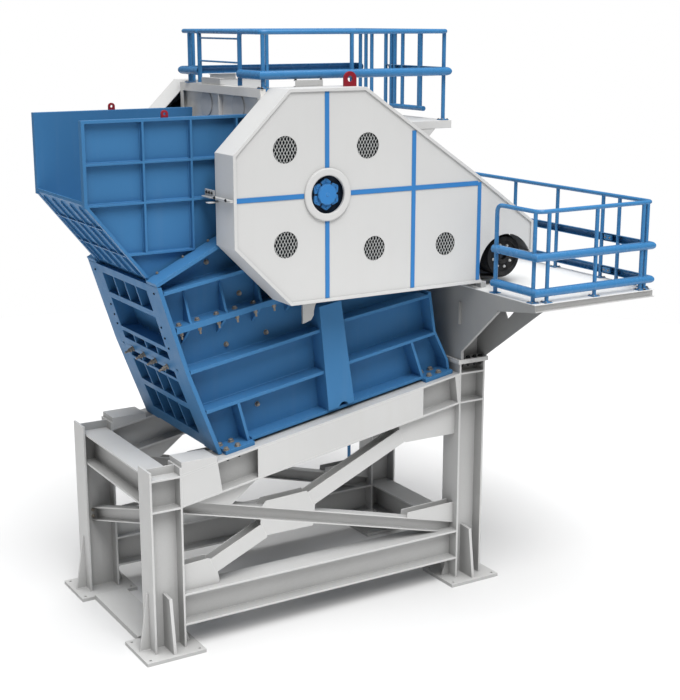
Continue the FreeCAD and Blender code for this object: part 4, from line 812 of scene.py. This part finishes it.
class CRUSHER_OT_weld_beads(bpy.types.Operator):
    """Fillet welds where ribs and plates meet on the crusher and the frame."""

    bl_idname = "crusher.weld_beads"
    bl_label = "Weld beads"

    def execute(self, context):
        # each sloping rib has a weld over and under it
        crusher = []
        for start, top, deep in ((-1830, 3868, 36), (-1700, 3481, 62), (-1560, 3014, 36),
                                 (-1420, 2564, 36)):
            for z in (top + 1, top - deep - 1):
                crusher.append([(start, -751, z), (-50, -751, z - (50 + start) * SLOPE)])
        welds("crusher_welds", crusher, "blue")
        # the columns' feet on their plates, and the base beams' ends on the columns
        steel = []
        near = -COLUMN_Y - 149
        far = -COLUMN_Y + 149
        for side in (-1, 1):
            x = side * COLUMN_X
            edge = x + side * HALF_DEEP
            steel += [[(flange, near, 41), (flange, far, 41)]
                      for flange in (x - HALF_DEEP, x + HALF_DEEP)]
            steel += [[(edge, y, 41), (edge + side * 118, y, 41)]
                      for y in (-COLUMN_Y - 10, -COLUMN_Y + 10)]
            inner = side * (COLUMN_X - HALF_DEEP - 1)
            steel += [[(inner, near, z), (inner, far, z)] for z in (641, 279)]
        welds("frame_welds", steel, "grey")
        hopper = [[(x, -671, 4260), (x, -671, 5550)] for x in (-1921, -1897, -1398, -1374)]
        hopper += [[(-2500, -671, z), (-760, -671, z)] for z in (5142, 5166, 4739, 4763)]
        welds("hopper_welds", hopper, "blue")
        return {"FINISHED"}


class CRUSHER_OT_vent_screens(bpy.types.Operator):
    """Expanded-metal discs behind the round vents, each with a dark disc behind it as painted
    shade.
    """

    bl_idname = "crusher.vent_screens"
    bl_label = "Vent screens"

    def execute(self, context):
        verts = []
        edges = []
        back = Shape()
        for side in (-1, 1):
            for x, z, radius in vents(side):
                self.lozenges(verts, edges, (x, side * 1352, z), radius + 8)
                # a dark disc behind each screen is painted shade of the guard's inside
                back.turned((x, side * 1340, z), "y",
                            [(0.1, 0), (radius + 12, 0), (radius + 12, side * 6)], 40)
        values = {"Strand": 0.0034, "Finish": MATERIALS["screen"]}
        grown("vent_mesh", mesh("screen_lines", verts, edges), screen_tree, values, "frame",
              ("vent_screens",))
        back.done("vent_shade_discs", "dark")
        return {"FINISHED"}

    @staticmethod
    def lozenges(verts, edges, centre, radius):
        """Zigzag strands side by side, cut off at a circle."""
        pitch = sizes().mesh_pitch * 1000
        tall = pitch * 1.9
        steps = 4
        columns = int(2 * radius / pitch) + 2
        rows = int(4 * radius / tall) + 3
        for column in range(-columns, columns + 1):
            sign = 1 if column % 2 == 0 else -1
            joined = False
            for row in range(-rows * steps, rows * steps + 1):
                t = row / steps
                x = (column + (abs(t % 2 - 1) - 0.5) * sign) * pitch * 0.5
                z = t * tall * 0.5
                inside = math.hypot(x, z) < radius
                if inside:
                    verts.append((centre[0] + x, centre[1], centre[2] + z))
                if inside and joined:
                    edges.append((len(verts) - 2, len(verts) - 1))
                joined = inside


class CRUSHER_OT_hub_caps(bpy.types.Operator):
    """Clamp rings on the shaft's ends: six blocks, a round cap and their bolts."""

    bl_idname = "crusher.hub_caps"
    bl_label = "Hub clamps"

    def execute(self, context):
        caps = Shape()
        seats = []
        corners = ((80, -0.42), (140, -0.46), (164, -0.06), (164, 0.06), (140, 0.46), (80, 0.42))
        for side in (-1, 1):
            outer = side * 1346
            tip = side * 1374
            for index in range(6):
                middle = math.radians(60 * index + 30)
                outline = [(HUB[0] + radius * math.cos(middle + turn),
                            HUB[1] + radius * math.sin(middle + turn)) for radius, turn in corners]
                caps.prism(outline, "y", side * 1315, outer, 4)
            seats += [((x, outer, z), (0, side, 0)) for x, z in circle(134, 6, HUB, 30)]
            caps.prism(circle(112, 12, HUB, 15), "y", outer, tip, 7)
            caps.turned((HUB[0], tip, HUB[1]), "y", [(0.1, side * 3), (17, side * 3), (20, -side)],
                        24)
        caps.done("hub_clamp_blocks", "strip", "rotor", ("hub_clamps",))
        bolts("hub_clamp_bolts", seats, 9, 7, finish="strip", body="rotor")
        return {"FINISHED"}


class CRUSHER_OT_guard_trim(bpy.types.Operator):
    """The guards' ledges, hub lips, vent rims, closing sheets, angles and bolts."""

    bl_idname = "crusher.guard_trim"
    bl_label = "Guard trim"

    def execute(self, context):
        trim = Shape()
        angle = Shape()
        seats = []
        for side in (-1, 1):
            # two ledges where the guard splits
            for z in (4779, 4791):
                trim.block((-1292, side * 971, z), (-1246, side * 1376, z + 10))
            # the sheet that closes the guard's inner side above the walkway
            outline = [(-655, 5452), (-655, 5814), (-610, 5857), (289, 5857),
                       (892 if side < 0 else 688, 5452)]
            trim.prism(outline, "y", side * 970, side * 976, 1)
            trim.turned((HUB[0], 0, HUB[1]), "y",
                        [(197, side * 1356), (197, side * 1380), (204, side * 1388),
                         (262, side * 1388), (271, side * 1381), (273, side * 1364)], 72)
            for x, z, radius in vents(side):
                trim.turned((x, 0, z), "y",
                            [(radius - 1, side * 1357), (radius, side * 1364),
                             (radius + 5, side * 1364), (radius + 6, side * 1363)], 56)
            angle.block((-1300, side * 752, 4779), (-1225, side * 967, 4791))
            angle.block((-1262, side * 752, 4791), (-1250, side * 967, 4858))
            seats += [((-1262, side * y, 4828), (-1, 0, 0)) for y in (800, 860, 920)]
            seats += [((-1292, side * y, 4796), (-1, 0, 0)) for y in (1040, 1290)]
            y = -1012 if side < 0 else 972
            self.channel(angle, (-338, y, 5862), (-12, y + 40, 5927), (-12, y + 6))
        self.channel(angle, (-704, -20, 5848), (-650, 436, 5918), (-698, 436))
        trim.done("guard_trim", "white")
        angle.done("guard_angles", "grey")
        seats += [((-700, y, 5848), (0, 0, 1)) for y in (-905, -968)]
        seats += [((x, -992, 5927), (0, 0, 1)) for x in (-325, -25)]
        bolts("guard_split_bolts", seats, 13, 10, finish="black")
        discs = Shape()
        for y in (-382, 382):
            discs.turned((0, y, 5640), "x", [(0.1, -684), (136, -684), (138, -682), (138, -670)])
        discs.done("panel_discs", "white")
        return {"FINISHED"}

    @staticmethod
    def channel(shape, low, high, web):
        """A channel between two corners: flanges 6 mm thick below and above a web."""
        shape.block(low, (*high[:2], low[2] + 6), 1)
        shape.block((*low[:2], low[2] + 6), (*web, high[2] - 6), 1)
        shape.block((*low[:2], high[2] - 6), high, 1)


class CRUSHER_OT_railings(bpy.types.Operator):
    """Railings: bent top tubes, posts on bolted feet and half-round middle and low rails."""

    bl_idname = "crusher.railings"
    bl_label = "Railings"

    def execute(self, context):
        rail = sizes().rail_radius * 1000
        section = half_round(sizes().guard_rail * 1000, 5)
        self.drive_rails(rail, section)
        self.walk_rails(rail, section)
        return {"FINISHED"}

    @staticmethod
    def foot(shape, x, y, base):
        """A square foot plate."""
        shape.block((x - 48, y - 48, base + 0.2), (x + 48, y + 48, base + 10))

    def posts(self, shape, seats, places, base, top):
        """Posts with a foot, a weld collar and four bolts each."""
        for x, y in places:
            shape.tube([(x, y, base + 8), (x, y, top)], POST_RADIUS)
            self.foot(shape, x, y, base)
            shape.turned((x, y, base), "z", [(POST_RADIUS + 7, 10), (POST_RADIUS, 20)], 20)
            seats += [((x + dx, y + dy, base + 10), (0, 0, 1))
                      for dx, dy in ((-34, -34), (34, 34), (-34, 34), (34, -34))]

    def drive_rails(self, rail, section):
        """The drive platform's railings: one top tube round three sides, open to the crusher."""
        base = PLATFORM_TOP
        top = base + 975
        front = 1811
        end = 3418
        side = 2341
        shape = Shape()
        seats = []
        path = [(front, -1640, base + 12), (front, -1640, top), (front, -side, top),
                (end, -side, top), (end, side, top), (front, side, top), (front, 1640, top),
                (front, 1640, base + 12)]
        shape.tube(path, rail, 90)
        places = [(front, -2290), (1955, -side), (2620, -side), (3290, -side), (3350, -side),
                  (end, -2250), (end, -1819), (end, -1547), (end, -745), (end, 65), (end, 875),
                  (end, 1547), (end, 1819), (end, 2250), (3300, side), (2620, side),
                  (1955, side), (front, 2290)]
        self.posts(shape, seats, places, base, top)
        for y in (-1640, 1640):
            self.foot(shape, front, y, base)
        for z in (base + 490, base + 110):
            shape.sweep([(front, -1600, z), (front, -side, z), (end, -side, z), (end, side, z),
                         (front, side, z), (front, 1600, z)], section)
            # sleeves over the rail's joints
            for x, sign in ((1868, -1), (2700, -1), (1868, 1)):
                shape.block((x - 60, sign * (side + 6), z - 30),
                            (x + 60, sign * (side - 26), z + 30))
            for y in (-1671, 0, 1671):
                shape.block((end - 26, y - 60, z - 30), (end + 6, y + 60, z + 30))
                seats += [((end - 26, y + shift, z), (-1, 0, 0)) for shift in (-36, 36)]
        shape.done("drive_railings", "rail",
                   replaces=("drive_rails_side", "drive_rails_cross"))
        bolts("drive_railing_bolts", seats, 9, 7)

    def walk_rails(self, rail, section):
        """The walkway's railings: two bent top tubes, safety bars and hung posts."""
        top = 6406
        middle = 5980
        low = 5860
        front = -689
        end = 1597
        half = 942
        shape = Shape()
        seats = []
        shape.tube([(end, half - 90, top), (end, half, top), (front, half, top),
                    (front, 503, top), (front, 503, low)], rail, 60)
        shape.tube([(front, -460, low), (front, -460, top), (front, -half, top),
                    (end, -half, top), (end, half - 90, top)], rail, 60)
        shape.tube([(front, 503, top), (front, -460, top)], rail)
        places = [(380, -half), (-560, half), (380, half), (end, -890), (end, 273), (end, 579),
                  (end, 708), (end, 834)]
        self.posts(shape, seats, places, WALK_TOP, top)
        self.posts(shape, seats, [(front, 757), (front + 24, 17 - half)], 5847, top)
        hang = WALK_TOP + 104
        for y in (-444, -416, -79, 81, 154):
            shape.tube([(end, y, hang), (end, y, top)], POST_RADIUS)
        shape.tube([(end, -514, hang), (end, 154, hang)], 28)
        for z in (6335, 6092):
            shape.tube([(front, -460, z), (front, 503, z)], 10, count=10)
        shape.sweep([(front, 503, middle), (front, half, middle), (end, half, middle),
                     (end, 834, middle)], [(-a, b) for a, b in section])
        shape.sweep([(front, -460, middle), (front, -half, middle), (end, -half, middle),
                     (end, 273, middle)], section)
        shape.done("walk_railings", "rail",
                   replaces=("walk_rails_side", "walk_rails_cross"))
        bolts("walk_railing_bolts", seats, 9, 7)


class CRUSHER_OT_drive_parts(bpy.types.Operator):
    """Motor pulley with its bolts, grooved belts, and the motor's fins, bell and box."""

    bl_idname = "crusher.drive_parts"
    bl_label = "Drive"

    def execute(self, context):
        x, z = PULLEY
        profile = [(70, -122), (82, -122), (86, -96), (176, -96), (182, -122), (222, -122)]
        for index in range(BELTS):
            along = index * BELT_PITCH - 100
            profile += [(224, along), (211, along + 6), (211, along + 13), (224, along + 19)]
        profile += [(222, 122), (182, 122), (178, 40), (86, 40), (82, 122), (45, 122),
                    (45, -122), (70, -122)]
        pulley = Shape()
        pulley.turned((x, BELT_Y, z), "y", profile, 96)
        pulley.done("motor_sheave", "black", "pulley", ("motor_pulley",))
        seats = [((a, BELT_Y - 96, b), (0, -1, 0)) for a, b in circle(128, 8, PULLEY, 15)]
        bolts("sheave_bolts", seats, 13, 12, finish="screen", body="pulley")
        self.belts()
        self.motor()
        return {"FINISHED"}

    @staticmethod
    def belts():
        """Vee belts side by side on one fixed loop."""
        wheel = WHEEL_RADIUS + 14
        small = PULLEY_RADIUS + 14
        run = math.dist(HUB, PULLEY)
        along = math.atan2(PULLEY[1] - HUB[1], PULLEY[0] - HUB[0])
        spread = math.acos((wheel - small) / run)
        path = []
        for (x, z), radius, first, arc, steps in (
                (PULLEY, small, along + spread, 2 * spread, 24),
                (HUB, wheel, along - spread, 2 * (math.pi - spread), 60)):
            angles = [first - arc * k / steps for k in range(steps + 1)]
            path += [Vector((x + radius * math.cos(a), 0, z + radius * math.sin(a)))
                     for a in angles]
        belt = Shape()
        for index in range(BELTS):
            middle = BELT_Y + BELT_PITCH * (index - (BELTS - 1) / 2)
            rings = []
            for i, here in enumerate(path):
                tangent = (path[(i + 1) % len(path)] - path[i - 1]).normalized()
                out = Vector((0, 1, 0)).cross(tangent)
                rings.append([here + Vector((0, middle + across, 0)) + out * tall
                              for across, tall in ((-10.5, 8), (10.5, 8), (7, -6.5), (-7, -6.5))])
            belt.skin(rings, loop=True)
        belt.done("vee_belts", "rubber", replaces=("drive_belt",))

    @staticmethod
    def motor():
        """Cooling fins, end bell and terminal box round the plain motor body."""
        x, z = PULLEY
        shape = Shape()
        for c, s in circle(1.0, 44):
            # no fins low down over the motor's feet
            if z + 290 * s < 3730 and abs(c) < 0.9:
                continue
            outline = [(x + radius * c - turn * s, z + radius * s + turn * c)
                       for radius, turn in ((262, -3), (286, -2), (286, 2), (262, 3))]
            shape.prism(outline, "y", -860, -190, 0)
        shape.block((x - 120, -640, z + 262), (x + 120, -400, z + 340), 8)
        shape.turned((x, 0, z), "y", [(40, 24), (232, 24), (244, 10), (244, -118)])
        shape.done("motor_fins", "motor")


class CRUSHER_OT_liner_teeth(bpy.types.Operator):
    """Ridged crushing faces on the fixed and swing jaws."""

    bl_idname = "crusher.liner_teeth"
    bl_label = "Jaw teeth"

    def execute(self, context):
        fixed = [(-1549, 3872), (-1261, 2933), (-1003, 2240)]
        swing = [(-566, 4150), (-758, 2428)]
        pitch = 78
        shape = Shape()
        for line, side in ((fixed, 1), (swing, -1)):
            for y in range(-8 * pitch, 9 * pitch, pitch):
                section = [(0, y - 30), (side * 26, y - 12), (side * 26, y + 12), (0, y + 30)]
                shape.skin([[(x + out, across, z) for out, across in section] for x, z in line])
        shape.done("jaw_teeth", "manganese")
        return {"FINISHED"}


class CRUSHER_OT_stage(bpy.types.Operator):
    """Pale floor, soft studio light and the camera."""

    bl_idname = "crusher.stage"
    bl_label = "Stage"

    def execute(self, context):
        self.floor()
        self.world(context.scene)
        self.lights()
        camera = bpy.data.cameras.new("camera")
        camera.lens = 68.79
        camera.sensor_width = 36
        camera.clip_end = 200
        item = in_scene("camera", camera)
        item.location = (-7.140, -13.130, 6.522)
        azimuth = math.radians(-31.18)
        elevation = math.radians(13.85)
        back = Vector((math.sin(azimuth) * math.cos(elevation),
                       -math.cos(azimuth) * math.cos(elevation), math.sin(elevation)))
        item.rotation_euler = back.to_track_quat("Z", "Y").to_euler()
        context.scene.camera = item
        context.scene.view_settings.view_transform = "Standard"
        return {"FINISHED"}

    @staticmethod
    def floor():
        """A pale round studio floor."""
        rim = [(x, y, 0) for x, y in circle(16000, 60)]
        data = mesh("floor", rim, faces=[range(len(rim))])
        material, tree, shader, place = start_material("matt_studio_floor")
        feed(shader, {"Base Color": colours().floor[:], "Roughness": 0.9,
                      "Specular IOR Level": 0.1})
        data.materials.append(material)
        floor = in_scene("floor", data)
        floor.location.z = -0.001

    @staticmethod
    def world(scene):
        """White behind the object, and a dimmer even light from all round it."""
        world = bpy.data.worlds.new("studio")
        scene.world = world
        world.use_nodes = True
        tree = world.node_tree
        tree.nodes.clear()
        seen = node(tree, "ShaderNodeBackground", {"Color": (1, 1, 1, 1), "Strength": 1.0})
        lit = node(tree, "ShaderNodeBackground", {"Color": (1, 1, 1, 1), "Strength": 0.25})
        path = node(tree, "ShaderNodeLightPath")
        choice = node(tree, "ShaderNodeMixShader", {
            0: path.outputs["Is Camera Ray"], 1: lit.outputs[0], 2: seen.outputs[0]})
        node(tree, "ShaderNodeOutputWorld", {"Surface": choice.outputs[0]})

    @staticmethod
    def lights():
        """Two wide suns: one overhead and a key light from the front."""
        for name, toward, energy, spread in (("top", (0.0, -0.1, 1.0), 2.3, 60),
                                             ("key", (-0.08, -0.55, 0.8), 2.0, 35)):
            light = bpy.data.lights.new(name, "SUN")
            light.energy = energy
            light.angle = math.radians(spread)
            item = in_scene(name, light)
            item.rotation_euler = Vector(toward).to_track_quat("Z", "Y").to_euler()


OPERATORS = (
    CRUSHER_OT_frame_finish,
    CRUSHER_OT_crusher_finish,
    CRUSHER_OT_crusher_bolts,
    CRUSHER_OT_frame_bolts,
    CRUSHER_OT_weld_beads,
    CRUSHER_OT_vent_screens,
    CRUSHER_OT_hub_caps,
    CRUSHER_OT_guard_trim,
    CRUSHER_OT_railings,
    CRUSHER_OT_drive_parts,
    CRUSHER_OT_liner_teeth,
    CRUSHER_OT_stage,
)


class CRUSHER_PT_panel(bpy.types.Panel):
    """Lists the pieces' operators, the colours and the sizes."""

    bl_label = "Jaw crusher"
    bl_idname = "CRUSHER_PT_panel"
    bl_space_type = "VIEW_3D"
    bl_region_type = "UI"
    bl_category = "Crusher"

    def draw(self, context):
        for group in (context.scene.crusher_colours, context.scene.crusher_sizes):
            for key in group.__annotations__:
                self.layout.prop(group, key)
        for operator in OPERATORS:
            self.layout.operator(operator.bl_idname)


CLASSES = (CrusherColours, CrusherSizes) + OPERATORS + (CRUSHER_PT_panel,)


def register():
    for item in CLASSES:
        bpy.utils.register_class(item)
    bpy.types.Scene.crusher_colours = bpy.props.PointerProperty(type=CrusherColours)
    bpy.types.Scene.crusher_sizes = bpy.props.PointerProperty(type=CrusherSizes)


def unregister():
    del bpy.types.Scene.crusher_sizes
    del bpy.types.Scene.crusher_colours
    for item in reversed(CLASSES):
        bpy.utils.unregister_class(item)


def main():
    register()
    make_materials()
    for operator in OPERATORS:
        family, name = operator.bl_idname.split(".")
        getattr(getattr(bpy.ops, family), name)()


if __name__ == "__main__":
    main()
